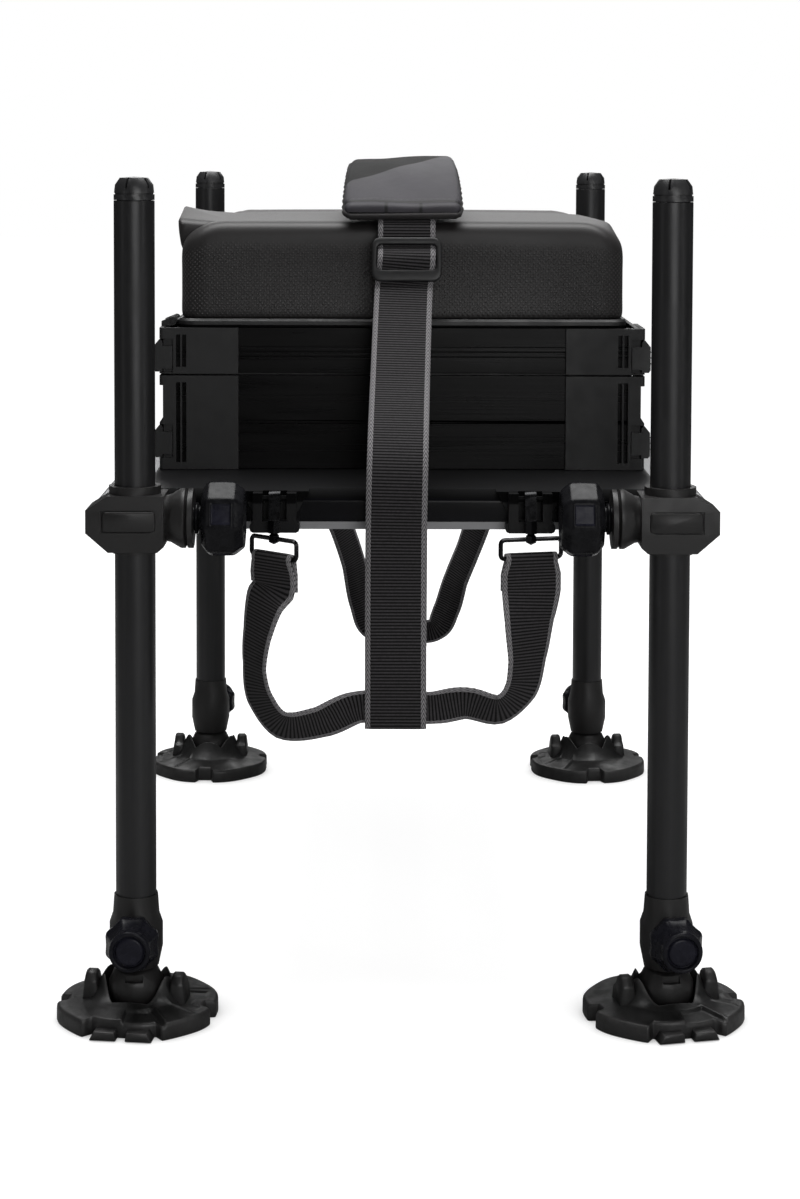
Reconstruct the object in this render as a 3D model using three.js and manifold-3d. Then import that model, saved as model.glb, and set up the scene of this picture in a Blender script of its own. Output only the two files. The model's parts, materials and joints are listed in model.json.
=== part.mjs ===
// Fishing seat box: two stacked tray units and a padded seat on a frame with four sliding legs.
// Sizes are in millimetres. X runs from the rear of the seat to its front, Y from its right side
// to its left, and Z up. The origin is on the ground, midway between the legs.
import * as THREE from "three";
import { mergeVertices } from "three/addons/utils/BufferGeometryUtils.js";
import Module from "manifold-3d";

// Clearances, and how far a cutting solid runs past the face that it cuts
const restGap = 0.3;
const slipGap = 0.4;
const cutOverrun = 1;

// Legs
const legSpacingX = 328;
const legSpacingY = 607;
const tubeDiameter = 25;
const tubeWall = 1.8;
const tubeTop = 505.5;
const tubeBottom = 49;

// Leg caps
const capHeight = 14.5;
const capRimHeight = 3.4;
const capGrooveHeight = 0.9;
const capGrooveDepth = 0.8;
const capPlugLength = 14;
const capNotchWidth = 1.4;
const capNotchDepth = 7;

// Foot plates
const plateRadius = 50;
const plateEdgeHeight = 7;
const plateEdgeBevel = 1.5;
const plateHubHeight = 12;
const plateHubRadius = 27;
const plateShift = 4;
const plateFrontNotchWidth = 40;
const plateSideNotchWidth = 13;
const plateNotchDepth = 9;
const plateLugWidth = 7;
const socketFloor = 1.5;
const socketDepth = 2.5;
const socketMargin = 1.2;
const towerReach = 33;
const towerWidth = 19;
const towerRise = 15;

// Ball, collar and lock knob of each foot
const ballRadius = 17.6;
const ballSlotWidth = 11;
const ballSlotHeight = 4;
const ballSlotDepth = 2;
const ballSlotRise = 6.5;
const collarSeatRise = 13.5;
const collarTop = 78;
const collarBulge = 16.5;
const collarBossRadius = 10;
const footKnobHeight = 53.5;
const footKnobReach = 41;
const footKnobRadius = 17.5;
const footKnobFaceRadius = 12.5;
const footKnobDishRadius = 9.4;
const footKnobDishDepth = 1.6;
const footKnobScrewRadius = 3;

// Leg clamps and their knobs
const clampHeight = 311;
const clampTipReach = 28.5;
const clampBodyReach = 19;
const clampRise = 15.5;
const clampDrop = 19;
const clampHalfWidth = 17;
const clampTipRise = 7;
const clampShoulder = 15;
const clampCollarRadius = 16;
const clampCollarHeight = 5;
const clampPanelLength = 30;
const clampPanelHeight = 13.5;
const clampPanelDepth = 1.4;
const clampNeckReach = 36;
const clampFlangeRadius = 18.5;
const clampGrooveDepth = 2;
const clampKnobStart = 41;
const clampKnobEnd = 67.5;
const clampKnobRadius = 23.4;
const clampKnobNeckRadius = 7.5;
const clampScrewRadius = 4;

// Frame rails
const sideRailWidth = 30;
const sideRailHeight = 20;
const sideRailWall = 2.5;
const sideRailCorner = 3;
const sideRailTop = 317;
const railSlotWidth = 6;
const railSlotDepth = 1.4;
const deckTop = 324.2;
const deckThickness = 5;
const deckLap = 26;
const endRailSetback = 31.5;
const endRailHeight = 24.5;
const endRailDepth = 22;
const endRailNose = 8;
const endRailLipHeight = 4.7;
const endRailLipProud = 1;
const deckRibHeight = 7;
const deckRibWidth = 3;
const gripHollowWidth = 90;
const gripHollowDepth = 1.6;

// Strap brackets and snap hooks
const bracketOffset = 79.5;
const bracketWidth = 27;
const bracketProud = 14;
const bracketDrop = 0.5;
const bracketLipWidth = 31;
const bracketLipHeight = 6;
const bracketFlareWidth = 42;
const bracketFlareHeight = 14;
const bracketFlareProud = 6;
const bracketChannelWidth = 15;
const bracketFloor = 7;
const bracketBack = 3;
const bracketBarRadius = 2;
const bracketBarDrop = 4;
const hookPlateWidth = 7;
const hookPlateThickness = 2.6;
const hookSwivelRadius = 4;
const hookSwivelHeight = 8;
const hookBallRadius = 3.6;
const hookProud = 5.5;
const eyeWidth = 42;
const eyeHeight = 14.5;
const eyeCorner = 4;
const eyeWireRadius = 1.5;
const eyeTop = 296.5;

// Box units
const boxWidth = 323;
const boxDepth = 352;
const lowerHeight = 62.5;
const upperHeight = 30.5;
const unitGap = 1.3;
const plinthInset = 3;
const blockWidth = 52.6;
const blockThickness = 3;
const blockCorner = 2.4;
const floorThickness = 2.5;
const wallThickness = 3;
const grooveWidth = 1.3;
const grooveDepth = 0.8;
const deepGrooveWidth = 2.4;
const deepGrooveDepth = 1.6;
const slotWidth = 2.8;
const slotOffset = 11.2;
const slotPitch = 4;
const slotMargin = 4.5;
const lowerGrooveShares = [0.2, 0.27, 0.73, 0.79];
const upperGrooveShares = [0.34, 0.45, 0.56];
const deepGrooveShare = 0.5;

const recessLow = 35.5;
const recessHigh = 56;
const recessSlope = 4.5;

// Latches
const latchLength = 25;
const latchHeight = 21.5;
const latchProud = 3.6;
const latchSunk = 2.2;
const latchFaceWidth = 6.6;
const latchFaceProud = 0.6;
const latchPivotRadius = 2.2;
const latchRelief = 2;
const lowerLatchRise = 29.5;
const upperLatchRise = 22.8;
const latchRibHeight = 0.8;
const latchRibWidth = 1;

// Drawer
const drawerFit = 1;
const drawerWall = 2.5;
const drawerDepth = 300;
const drawerRise = 1;
const drawerGripWidth = 90;
const drawerGripHeight = 9;
const drawerGripDepth = 1.6;
const runnerWidth = 3;
const runnerHeight = 10;

// Seat
const boardSideInset = 11.5;
const boardInset = 3;
const boardThickness = 5.6;
const boardCorner = 12;
const boardBevel = 1.6;
const cushionInset = 2;
const cushionThickness = 64.4;
const cushionCorner = 16;
const cushionEdge = 22;
const cushionCrown = 3;
const cushionPull = 2.5;
const seatLipRise = 9;
const seatLipWidth = 50;
const seatLipBulge = 4;
const seatLipSetback = 20;
const seatLipStart = 8;
const seatFall = 2.4;
const hingeSetback = 30;
const hingeBarrelLength = 22;
const hingeBarrelRadius = 3;
const hingePinRadius = 1.5;
const hingeEarWidth = 5;
const hingeOffset = 4.2;

// Webbing: the carrying strap over the seat, and the strap between the hooks of each end
const webbingWidth = 38;
const webbingThickness = 1.6;
const strapReach = 290;
const strapCornerRise = 17.8;
const strapLayerGap = 2.8;
const nearStrapShift = -4;
const farStrapShift = 5;
const nearBandHeight = 192;
const farBandHeight = 122;
const bandReach = 295.5;
const foldedWidth = 20;
const foldedThickness = 3.2;
const loopTail = 20;
const loopLayerGap = 2.4;

// Buckle and shoulder pad
const buckleWidth = 46;
const buckleHeight = 30;
const buckleThickness = 2.4;
const buckleBar = 4;
const buckleCorner = 3;
const buckleCentre = 465;
const buckleStandOff = 13.5;
const buckleShift = 2.7;
const padOverhang = 2;
const padWidth = 79;
const padThickness = 10;
const padBase = 2;
const padRise = 32;
const padEdge = 3;

// Counts, angles and shares
const roundSides = 16;
const pinSides = 8;
const plateSides = 24;
const ballRings = 7;
const turnRight = Math.PI / 2;
const knobLobes = 5;
const capNotches = 5;
const corners = [
  { name: "right_rear", x: -1, y: -1, footTurn: 0, eyeTurn: -42 },
  { name: "right_front", x: 1, y: -1, footTurn: 8, eyeTurn: 14 },
  { name: "left_rear", x: -1, y: 1, footTurn: 172, eyeTurn: -14 },
  { name: "left_front", x: 1, y: 1, footTurn: -172, eyeTurn: 14 },
];

// Places worked out from the sizes above
const tubeRadius = tubeDiameter / 2;
const legX = legSpacingX / 2;
const legY = legSpacingY / 2;
const ballHeight = socketFloor + slipGap + ballRadius;
const collarBottom = ballHeight + collarSeatRise;
const halfWidth = boxWidth / 2;
const halfDepth = boxDepth / 2;
const lowerBottom = deckTop + restGap;
const lowerTop = lowerBottom + lowerHeight;
const upperBottom = lowerTop + unitGap;
const upperTop = upperBottom + upperHeight;
const boardBottom = upperTop + restGap;
const boardTop = boardBottom + boardThickness;
const cushionBottom = boardTop + restGap;
const seatTop = cushionBottom + cushionThickness;
const wallOutset = blockThickness + restGap;
const endRailFace = legY - endRailSetback;
const deckReach = endRailFace - halfDepth + deckLap;
const boardWidth = boxWidth - 2 * boardSideInset;
const boardDepth = boxDepth - 2 * boardInset;
const hingeSpread = boardDepth / 2 - hingeSetback;
const buckleReach = boardDepth / 2 + buckleStandOff;
const padLength = boardDepth + 2 * padOverhang;
const hookLine = endRailFace + bracketProud + hookProud;
const strapCornerHeight = deckTop + strapCornerRise;

// Joins and cuts of closed solids
const wasm = await Module();
wasm.setup();

function signedVolume(geometry) {
  const place = geometry.attributes.position;
  const index = geometry.index;
  const a = new THREE.Vector3();
  const b = new THREE.Vector3();
  const c = new THREE.Vector3();
  let total = 0;
  for (let i = 0; i < index.count; i += 3) {
    a.fromBufferAttribute(place, index.getX(i));
    b.fromBufferAttribute(place, index.getX(i + 1));
    c.fromBufferAttribute(place, index.getX(i + 2));
    total += a.dot(b.cross(c));
  }
  return total;
}

// Merges shared corners, drops triangles without area and turns every face outwards
function closed(geometry) {
  const bare = geometry.clone();
  bare.deleteAttribute("normal");
  bare.deleteAttribute("uv");
  const merged = mergeVertices(bare, 1e-3);
  const kept = [];
  const index = merged.index;
  for (let i = 0; i < index.count; i += 3) {
    const [a, b, c] = [index.getX(i), index.getX(i + 1), index.getX(i + 2)];
    if (a !== b && b !== c && c !== a) kept.push(a, b, c);
  }
  merged.setIndex(kept);
  if (signedVolume(merged) < 0) {
    const turned = [];
    for (let i = 0; i < kept.length; i += 3) turned.push(kept[i], kept[i + 2], kept[i + 1]);
    merged.setIndex(turned);
  }
  return merged;
}

function toSolid(geometry) {
  const shell = closed(geometry);
  const triVerts = Uint32Array.from(shell.index.array);
  const vertProperties = Float32Array.from(shell.attributes.position.array);
  return new wasm.Manifold(new wasm.Mesh({ numProp: 3, vertProperties, triVerts }));
}

function toGeometry(solid) {
  const mesh = solid.getMesh();
  const geometry = new THREE.BufferGeometry();
  geometry.setAttribute("position", new THREE.BufferAttribute(mesh.vertProperties, 3));
  geometry.setIndex(new THREE.BufferAttribute(mesh.triVerts, 1));
  return geometry;
}

function join(first, ...others) {
  return toGeometry(others.reduce((solid, other) => solid.add(toSolid(other)), toSolid(first)));
}

function cut(first, ...others) {
  return toGeometry(others.reduce((solid, other) => solid.subtract(toSolid(other)), toSolid(first)));
}

function common(first, second) {
  return toGeometry(toSolid(first).intersect(toSolid(second)));
}

// Shapes in place
function box(lowX, highX, lowY, highY, lowZ, highZ) {
  const geometry = new THREE.BoxGeometry(highX - lowX, highY - lowY, highZ - lowZ);
  return geometry.translate((lowX + highX) / 2, (lowY + highY) / 2, (lowZ + highZ) / 2);
}

function outline(points) {
  return new THREE.Shape(points.map(([x, y]) => new THREE.Vector2(x, y)));
}

// A flat outline in X and Y, extruded upwards
function extrudeUp(shape, low, high, curveSteps = 4) {
  const options = { depth: high - low, bevelEnabled: false, curveSegments: curveSteps };
  return new THREE.ExtrudeGeometry(shape, options).translate(0, 0, low);
}

// An outline in X and Z, extruded along Y
function extrudeAlongY(shape, low, high, curveSteps = 4) {
  return extrudeUp(shape, -high, -low, curveSteps).rotateX(turnRight);
}

// An outline in Y and Z, extruded along X
function extrudeAlongX(shape, low, high, curveSteps = 4) {
  return extrudeUp(shape, low, high, curveSteps).rotateX(turnRight).rotateZ(turnRight);
}

// A profile of radius and height, turned about Z
function turnAboutZ(profile, sides = roundSides) {
  const points = profile.map(([radius, height]) => new THREE.Vector2(radius, height));
  return new THREE.LatheGeometry(points, sides).rotateX(turnRight);
}

// The same profile, turned about X
function turnAboutX(profile, sides = roundSides) {
  return turnAboutZ(profile, sides).rotateY(turnRight);
}

// A round rod between two heights along Z
function rod(radius, low, high, sides = roundSides) {
  const geometry = new THREE.CylinderGeometry(radius, radius, high - low, sides);
  return geometry.rotateX(turnRight).translate(0, 0, (low + high) / 2);
}

function roundedRectangle(width, depth, radius) {
  const [x, y] = [width / 2, depth / 2];
  const shape = new THREE.Shape();
  shape.moveTo(-x + radius, -y);
  shape.lineTo(x - radius, -y);
  shape.absarc(x - radius, -y + radius, radius, -turnRight, 0);
  shape.lineTo(x, y - radius);
  shape.absarc(x - radius, y - radius, radius, 0, turnRight);
  shape.lineTo(-x + radius, y);
  shape.absarc(-x + radius, y - radius, radius, turnRight, Math.PI);
  shape.lineTo(-x, -y + radius);
  shape.absarc(-x + radius, -y + radius, radius, Math.PI, Math.PI + turnRight);
  return shape;
}

// A skin through rings of equal point counts, closed by a fan at both ends. The two halves of each
// ring split their facets along matching diagonals, so a thin strip can twist without crossing itself.
function loft(rings) {
  const count = rings[0].length;
  const points = rings.flat();
  const index = [];
  for (let i = 0; i + 1 < rings.length; i += 1) {
    for (let j = 0; j < count; j += 1) {
      const next = (j + 1) % count;
      const [a, b] = [i * count + j, i * count + next];
      const [c, d] = [a + count, b + count];
      index.push(...(2 * j < count ? [a, b, d, a, d, c] : [a, b, c, b, d, c]));
    }
  }
  for (const [ring, first] of [[rings[0], 0], [rings.at(-1), (rings.length - 1) * count]]) {
    const centre = new THREE.Vector3();
    ring.forEach((point) => centre.addScaledVector(point, 1 / count));
    const hub = points.push(centre) - 1;
    for (let j = 0; j < count; j += 1) {
      const [a, b] = [first + j, first + ((j + 1) % count)];
      index.push(...(first === 0 ? [hub, b, a] : [hub, a, b]));
    }
  }
  const geometry = new THREE.BufferGeometry().setFromPoints(points);
  geometry.setIndex(index);
  return closed(geometry);
}

// A skin round a closed chain of rings, like a ring-shaped tube
function loftClosed(rings) {
  const count = rings[0].length;
  const index = [];
  rings.forEach((ring, i) => {
    const following = ((i + 1) % rings.length) * count;
    for (let j = 0; j < count; j += 1) {
      const next = (j + 1) % count;
      const [a, b] = [i * count + j, i * count + next];
      const [c, d] = [following + j, following + next];
      index.push(a, b, d, a, d, c);
    }
  });
  const geometry = new THREE.BufferGeometry().setFromPoints(rings.flat());
  geometry.setIndex(index);
  return closed(geometry);
}

// A strip of webbing along stations of place, width direction, width and thickness
function strip(stations, steps, edge = 0) {
  const path = new THREE.CatmullRomCurve3(stations.map((station) => station.at), false, "centripetal");
  const rings = [];
  for (let i = 0; i <= steps; i += 1) {
    const share = (i / steps) * (stations.length - 1);
    const before = Math.min(Math.floor(share), stations.length - 2);
    const between = share - before;
    const [from, to] = [stations[before], stations[before + 1]];
    const middle = path.getPoint(i / steps);
    const along = path.getTangent(i / steps);
    const across = from.across.clone().lerp(to.across, between);
    across.addScaledVector(along, -across.dot(along)).normalize();
    const out = new THREE.Vector3().crossVectors(across, along).normalize();
    const halfWide = THREE.MathUtils.lerp(from.width, to.width, between) / 2;
    const halfThick = THREE.MathUtils.lerp(from.thickness, to.thickness, between) / 2;
    const section = edge > 0 ? softSection(halfWide, halfThick, edge) : flatSection(halfWide, halfThick);
    rings.push(section.map(([wide, thick]) => middle.clone()
      .addScaledVector(across, wide).addScaledVector(out, thick)));
  }
  return loft(rings);
}

function flatSection(wide, thick) {
  return [[wide, thick], [-wide, thick], [-wide, -thick], [wide, -thick]];
}

function softSection(wide, thick, edge) {
  return [
    [wide - edge, thick], [-wide + edge, thick], [-wide, thick - edge], [-wide, -thick + edge],
    [-wide + edge, -thick], [wide - edge, -thick], [wide, -thick + edge], [wide, thick - edge],
  ];
}

function mirroredX(geometry) {
  return closed(geometry.clone().scale(-1, 1, 1));
}

function mirroredY(geometry) {
  return closed(geometry.clone().scale(1, -1, 1));
}

// Materials
function finish(color, roughness, metalness) {
  return { color, roughness, metalness };
}

const finishes = {
  tube: finish(0x4a4c50, 0.35, 0.8),
  casting: finish(0x3c3e41, 0.55, 0.3),
  blackPlastic: finish(0x1e1f21, 0.5, 0),
  glossPlastic: finish(0x1a1a1e, 0.25, 0),
  moulding: finish(0x2a2b2e, 0.5, 0),
  wall: finish(0x17181a, 0.35, 0.6),
  bareRail: finish(0xb9bcc0, 0.35, 0.9),
  vinyl: finish(0x222225, 0.55, 0),
  webbing: finish(0x1b1b1d, 0.85, 0),
  padCloth: finish(0x6f6c74, 0.9, 0),
  steel: finish(0x2c2d30, 0.28, 1),
};

const seatBox = new THREE.Group();

function addPiece(group, name, geometry, look) {
  const mesh = new THREE.Mesh(closed(geometry), new THREE.MeshStandardMaterial(finishes[look]));
  mesh.name = name;
  group.add(mesh);
  return mesh;
}

// Leg tube and cap. The dome's shares are radius over the tube's and height over the dome's.
const capDomeShares = [[0.98, 0], [0.94, 0.5], [0.7, 0.93]];

function legTube() {
  const bore = tubeRadius - tubeWall;
  return turnAboutZ([
    [bore, tubeBottom], [tubeRadius, tubeBottom], [tubeRadius, tubeTop], [bore, tubeTop], [bore, tubeBottom],
  ]);
}

function legCap() {
  const plug = tubeRadius - tubeWall - restGap;
  const neck = tubeRadius - capGrooveDepth;
  const base = tubeTop + restGap;
  const domeBase = base + capRimHeight + capGrooveHeight;
  const domeRise = tubeTop + capHeight - domeBase;
  const profile = [
    [0, tubeTop - capPlugLength], [plug, tubeTop - capPlugLength], [plug, base], [tubeRadius, base],
    [tubeRadius, base + capRimHeight], [neck, base + capRimHeight], [neck, domeBase],
  ];
  capDomeShares.forEach(([radius, rise]) => profile.push([radius * tubeRadius, domeBase + rise * domeRise]));
  profile.push([0, tubeTop + capHeight]);
  const notches = [];
  for (let i = 0; i < capNotches; i += 1) {
    const notch = box(
      tubeRadius / 2, tubeRadius + cutOverrun, -capNotchWidth / 2, capNotchWidth / 2,
      tubeTop + capHeight - capNotchDepth, tubeTop + capHeight + cutOverrun,
    );
    notches.push(notch.rotateZ(((i + 1 / 2) / capNotches) * 2 * Math.PI));
  }
  return cut(turnAboutZ(profile), ...notches);
}

// Foot: plate with a six-sided socket, ball, collar and lock knob
const notchTaperShare = 0.7;
const towerTopShares = [
  [-0.06, 1], [0.1, 1], [0.18, 0.9], [0.22, 0], [-0.42, 0], [-0.42, 0.55], [-0.16, 0.66],
];

function plateNotch(width, angle) {
  const inner = width * notchTaperShare;
  const shape = outline([
    [-inner / 2, -plateRadius + plateNotchDepth], [inner / 2, -plateRadius + plateNotchDepth],
    [width / 2 + plateNotchDepth / 2, -plateRadius - plateNotchDepth],
    [-width / 2 - plateNotchDepth / 2, -plateRadius - plateNotchDepth],
  ]);
  return extrudeUp(shape, -cutOverrun, plateHubHeight).rotateZ(angle);
}

// A ball, or the hollow for one, as rings between its poles
function ballProfile(radius, rings) {
  const profile = [];
  for (let i = 0; i <= rings; i += 1) {
    const angle = (i / rings - 1 / 2) * Math.PI;
    profile.push([i % rings ? radius * Math.cos(angle) : 0, radius * Math.sin(angle)]);
  }
  return profile;
}

// Room for the ball: its facets stay clear of the ball all round, and its flat floor carries the ball
function ballSocket() {
  const facet = Math.cos(Math.PI / roundSides) * Math.cos(turnRight / ballRings);
  const floor = -ballRadius - restGap;
  const profile = ballProfile((ballRadius + slipGap) / facet, ballRings);
  const raised = profile.map(([radius, height]) => [radius, Math.max(height, floor)]);
  return turnAboutZ(raised).translate(0, 0, ballHeight);
}

function footPlate() {
  const plate = turnAboutZ([
    [0, 0], [plateRadius, 0], [plateRadius, plateEdgeHeight],
    [plateRadius - 2 * plateEdgeBevel, plateEdgeHeight + plateEdgeBevel], [plateHubRadius, plateHubHeight],
    [0, plateHubHeight],
  ], plateSides);
  const towerBase = plateEdgeHeight;
  const towerTop = plateHubHeight + towerRise;
  const towerMiddle = (towerReach + ballRadius) / 2;
  const tower = extrudeAlongY(
    outline(towerTopShares.map(([wide, high]) => [
      towerMiddle + wide * towerReach, towerBase + high * (towerTop - towerBase),
    ])), -towerWidth / 2, towerWidth / 2,
  );
  const lug = box(
    plateLugWidth / 2, 3 * plateLugWidth / 2, -plateRadius + plateNotchDepth / 3,
    -plateRadius + plateNotchDepth + cutOverrun, 0, plateEdgeHeight - plateEdgeBevel,
  );
  const notches = [
    plateNotch(plateFrontNotchWidth, 0), plateNotch(plateSideNotchWidth, turnRight),
    plateNotch(plateSideNotchWidth, Math.PI), plateNotch(plateSideNotchWidth, -turnRight),
  ];
  const socketRadius = (ballRadius + socketMargin) / Math.cos(turnRight / 3);
  const socket = rod(socketRadius, plateHubHeight - socketDepth, towerTop + cutOverrun, 6);
  socket.rotateZ(turnRight / 3);
  const shaped = join(cut(plate, ...notches), lug, mirroredX(lug)).translate(0, plateShift, 0);
  return cut(join(shaped, tower, mirroredX(tower)), socket, ballSocket());
}

function footBall() {
  const ball = turnAboutZ(ballProfile(ballRadius, ballRings));
  const slotFace = Math.sqrt(ballRadius ** 2 - (ballSlotRise + ballSlotHeight) ** 2) - ballSlotDepth;
  const slot = box(
    -ballSlotWidth / 2, ballSlotWidth / 2, -ballRadius - cutOverrun, -slotFace,
    ballSlotRise, ballSlotRise + ballSlotHeight,
  );
  return cut(ball, slot).translate(0, 0, ballHeight);
}

// Radius as a share of the bulge, and height as a share of the collar's height
const collarShares = [[0.84, 0], [1, 0.28], [1, 0.6], [0.87, 0.74], [0.82, 1]];

function footCollar() {
  const bore = tubeRadius + restGap;
  const floor = tubeBottom - restGap;
  const height = collarTop - collarBottom;
  const cup = ballHeight + ballRadius + restGap;
  const cupRim = Math.sqrt(ballRadius ** 2 - collarSeatRise ** 2) + 2 * slipGap;
  const profile = [[0, cup], [cupRim / 3, cup], [cupRim, collarBottom]];
  collarShares.forEach(([radius, rise]) => {
    profile.push([radius * collarBulge, collarBottom + rise * height]);
  });
  profile.push([bore, collarTop], [bore, floor], [0, floor]);
  const boss = rod(collarBossRadius, bore + slipGap, collarBulge + cutOverrun, 9).rotateX(turnRight);
  boss.translate(0, 0, footKnobHeight);
  const screwRoom = footKnobScrewRadius + slipGap;
  const hole = rod(screwRoom, tubeRadius - cutOverrun, collarBulge + 2 * cutOverrun, 8);
  hole.rotateX(turnRight).translate(0, 0, footKnobHeight);
  return cut(join(turnAboutZ(profile), boss), hole);
}

function circleRing(radius, along, count) {
  const ring = [];
  for (let i = 0; i < count; i += 1) {
    const angle = (i / count) * 2 * Math.PI;
    ring.push(new THREE.Vector3(along, radius * Math.cos(angle), radius * Math.sin(angle)));
  }
  return ring;
}

// A ring that goes from a circle, at share 0, to a six-sided outline of the same radius, at share 1
function hexagonRing(radius, along, count, share) {
  const side = Math.PI / 3;
  return circleRing(1, along, count).map((point, i) => {
    const angle = (i / count) * 2 * Math.PI + side / 2;
    const flat = Math.cos(side / 2) / Math.cos((angle % side) - side / 2);
    const reach = radius * THREE.MathUtils.lerp(1, flat, share);
    return new THREE.Vector3(along, point.y * reach, point.z * reach);
  });
}

// Distance along the knob's head over its length, and radius over the full one
const footKnobRimShare = 0.94;
const footKnobWideShare = 0.22;
const footKnobFaceShare = 0.68;

function footKnob() {
  const count = 18;
  const back = collarBulge + cutOverrun + slipGap;
  const length = footKnobReach - back;
  const tip = tubeRadius + restGap;
  const rings = [
    circleRing(footKnobScrewRadius, tip, count), circleRing(footKnobScrewRadius, back, count),
    hexagonRing(footKnobRadius * footKnobRimShare, back, count, 1),
    hexagonRing(footKnobRadius, back + length * footKnobWideShare, count, 1),
    circleRing(footKnobFaceRadius, back + length * footKnobFaceShare, count),
    circleRing(footKnobFaceRadius, footKnobReach, count),
    circleRing(footKnobDishRadius, footKnobReach, count),
    circleRing(footKnobDishRadius, footKnobReach - footKnobDishDepth, count),
  ];
  return loft(rings).rotateZ(-turnRight).translate(0, 0, footKnobHeight);
}

// Leg clamp, with X pointing from the leg towards the middle of the box
const clampNeckShares = [[0.72, 0], [0.8, 0.34], [1, 0.64]];
const clampPanelShare = 0.7;

function legClamp() {
  const front = extrudeAlongY(outline([
    [-clampTipReach, -clampTipRise], [-clampTipReach, clampTipRise], [-clampShoulder, clampRise],
    [clampBodyReach, clampRise], [clampBodyReach, -clampRise], [clampShoulder, -clampDrop],
    [-clampShoulder, -clampDrop],
  ]), -clampHalfWidth, clampHalfWidth);
  const shoulder = tubeRadius + 2 * tubeWall;
  const side = extrudeAlongX(outline([
    [-clampHalfWidth, -clampTipRise], [-clampHalfWidth, clampTipRise], [-shoulder, clampRise],
    [shoulder, clampRise], [clampHalfWidth, clampTipRise], [clampHalfWidth, -clampTipRise],
    [shoulder, -clampDrop], [-shoulder, -clampDrop],
  ]), -clampTipReach - cutOverrun, clampBodyReach + cutOverrun);
  const collar = rod(clampCollarRadius, clampRise - cutOverrun, clampRise + clampCollarHeight);
  const foot = rod(clampCollarRadius - tubeWall, -clampDrop - clampGrooveDepth, -clampDrop + cutOverrun);
  const neckStart = clampShoulder;
  const neckLength = clampNeckReach - neckStart;
  const inner = clampFlangeRadius - clampGrooveDepth;
  const profile = [[0, neckStart]];
  clampNeckShares.forEach(([radius, along]) => profile.push([
    radius * clampFlangeRadius, neckStart + along * neckLength,
  ]));
  const groove = clampNeckReach - 2 * clampGrooveDepth;
  profile.push(
    [clampFlangeRadius, groove - clampGrooveDepth / 2], [inner, groove],
    [clampFlangeRadius, groove + clampGrooveDepth / 2], [clampFlangeRadius, clampNeckReach],
    [0, clampNeckReach],
  );
  const neck = turnAboutX(profile);
  const bore = rod(tubeRadius + slipGap, -clampDrop - clampHalfWidth, clampRise + clampHalfWidth);
  const screw = rod(clampScrewRadius + slipGap, 0, clampNeckReach + cutOverrun, pinSides).rotateY(turnRight);
  const panelStart = -clampTipReach + (clampTipReach - clampShoulder) * clampPanelShare;
  const panel = box(
    panelStart, panelStart + clampPanelLength, clampHalfWidth - clampPanelDepth, clampHalfWidth + cutOverrun,
    -clampPanelHeight / 2, clampPanelHeight / 2,
  );
  const body = join(common(front, side), collar, foot, neck);
  return cut(body, bore, screw, panel, mirroredY(panel)).translate(0, 0, clampHeight);
}

// Angle in degrees, and share of the radius, of the corners of one lobe. The head's rings are shares
// of its radius and of its length.
const lobeShares = [[-25, 0.98], [0, 1], [25, 0.98]];
const clampHeadShares = [[0.84, 0], [1, 0.14], [1, 0.78], [0.8, 1]];
const clampDishShare = 0.06;

function lobeRing(radius, along) {
  const ring = [];
  for (let i = 0; i < knobLobes; i += 1) {
    for (const [degrees, share] of lobeShares) {
      const angle = (i / knobLobes) * 2 * Math.PI + THREE.MathUtils.degToRad(degrees);
      const reach = radius * share;
      ring.push(new THREE.Vector3(along, reach * Math.cos(angle), reach * Math.sin(angle)));
    }
  }
  return ring;
}

function clampKnob() {
  const count = knobLobes * lobeShares.length;
  const length = clampKnobEnd - clampKnobStart;
  const faceStart = clampNeckReach + slipGap;
  return loft([
    circleRing(clampScrewRadius, tubeRadius + restGap, count), circleRing(clampScrewRadius, faceStart, count),
    circleRing(clampKnobNeckRadius, faceStart, count), circleRing(clampKnobNeckRadius, clampKnobStart, count),
    ...clampHeadShares.map(([radius, along]) => lobeRing(
      radius * clampKnobRadius, clampKnobStart + along * length,
    )),
    circleRing(clampKnobRadius / 2, clampKnobEnd - clampDishShare * length, count),
  ]).translate(0, 0, clampHeight);
}

function addLeg(corner) {
  const leg = new THREE.Group();
  leg.position.set(corner.x * legX, corner.y * legY, 0);
  const foot = new THREE.Group();
  foot.rotation.z = THREE.MathUtils.degToRad(corner.footTurn);
  leg.add(foot);
  const inward = (geometry) => (corner.x < 0 ? geometry : mirroredX(geometry));
  addPiece(leg, `${corner.name}_leg_tube`, legTube(), "tube");
  addPiece(leg, `${corner.name}_leg_cap`, legCap(), "blackPlastic");
  addPiece(leg, `${corner.name}_leg_clamp`, inward(legClamp()), "casting");
  addPiece(leg, `${corner.name}_clamp_knob`, inward(clampKnob()), "glossPlastic");
  addPiece(foot, `${corner.name}_foot_collar`, footCollar(), "casting");
  addPiece(foot, `${corner.name}_foot_knob`, footKnob(), "glossPlastic");
  addPiece(foot, `${corner.name}_foot_ball`, footBall(), "blackPlastic");
  addPiece(foot, `${corner.name}_foot_plate`, footPlate(), "casting");
  seatBox.add(leg);
}

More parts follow.
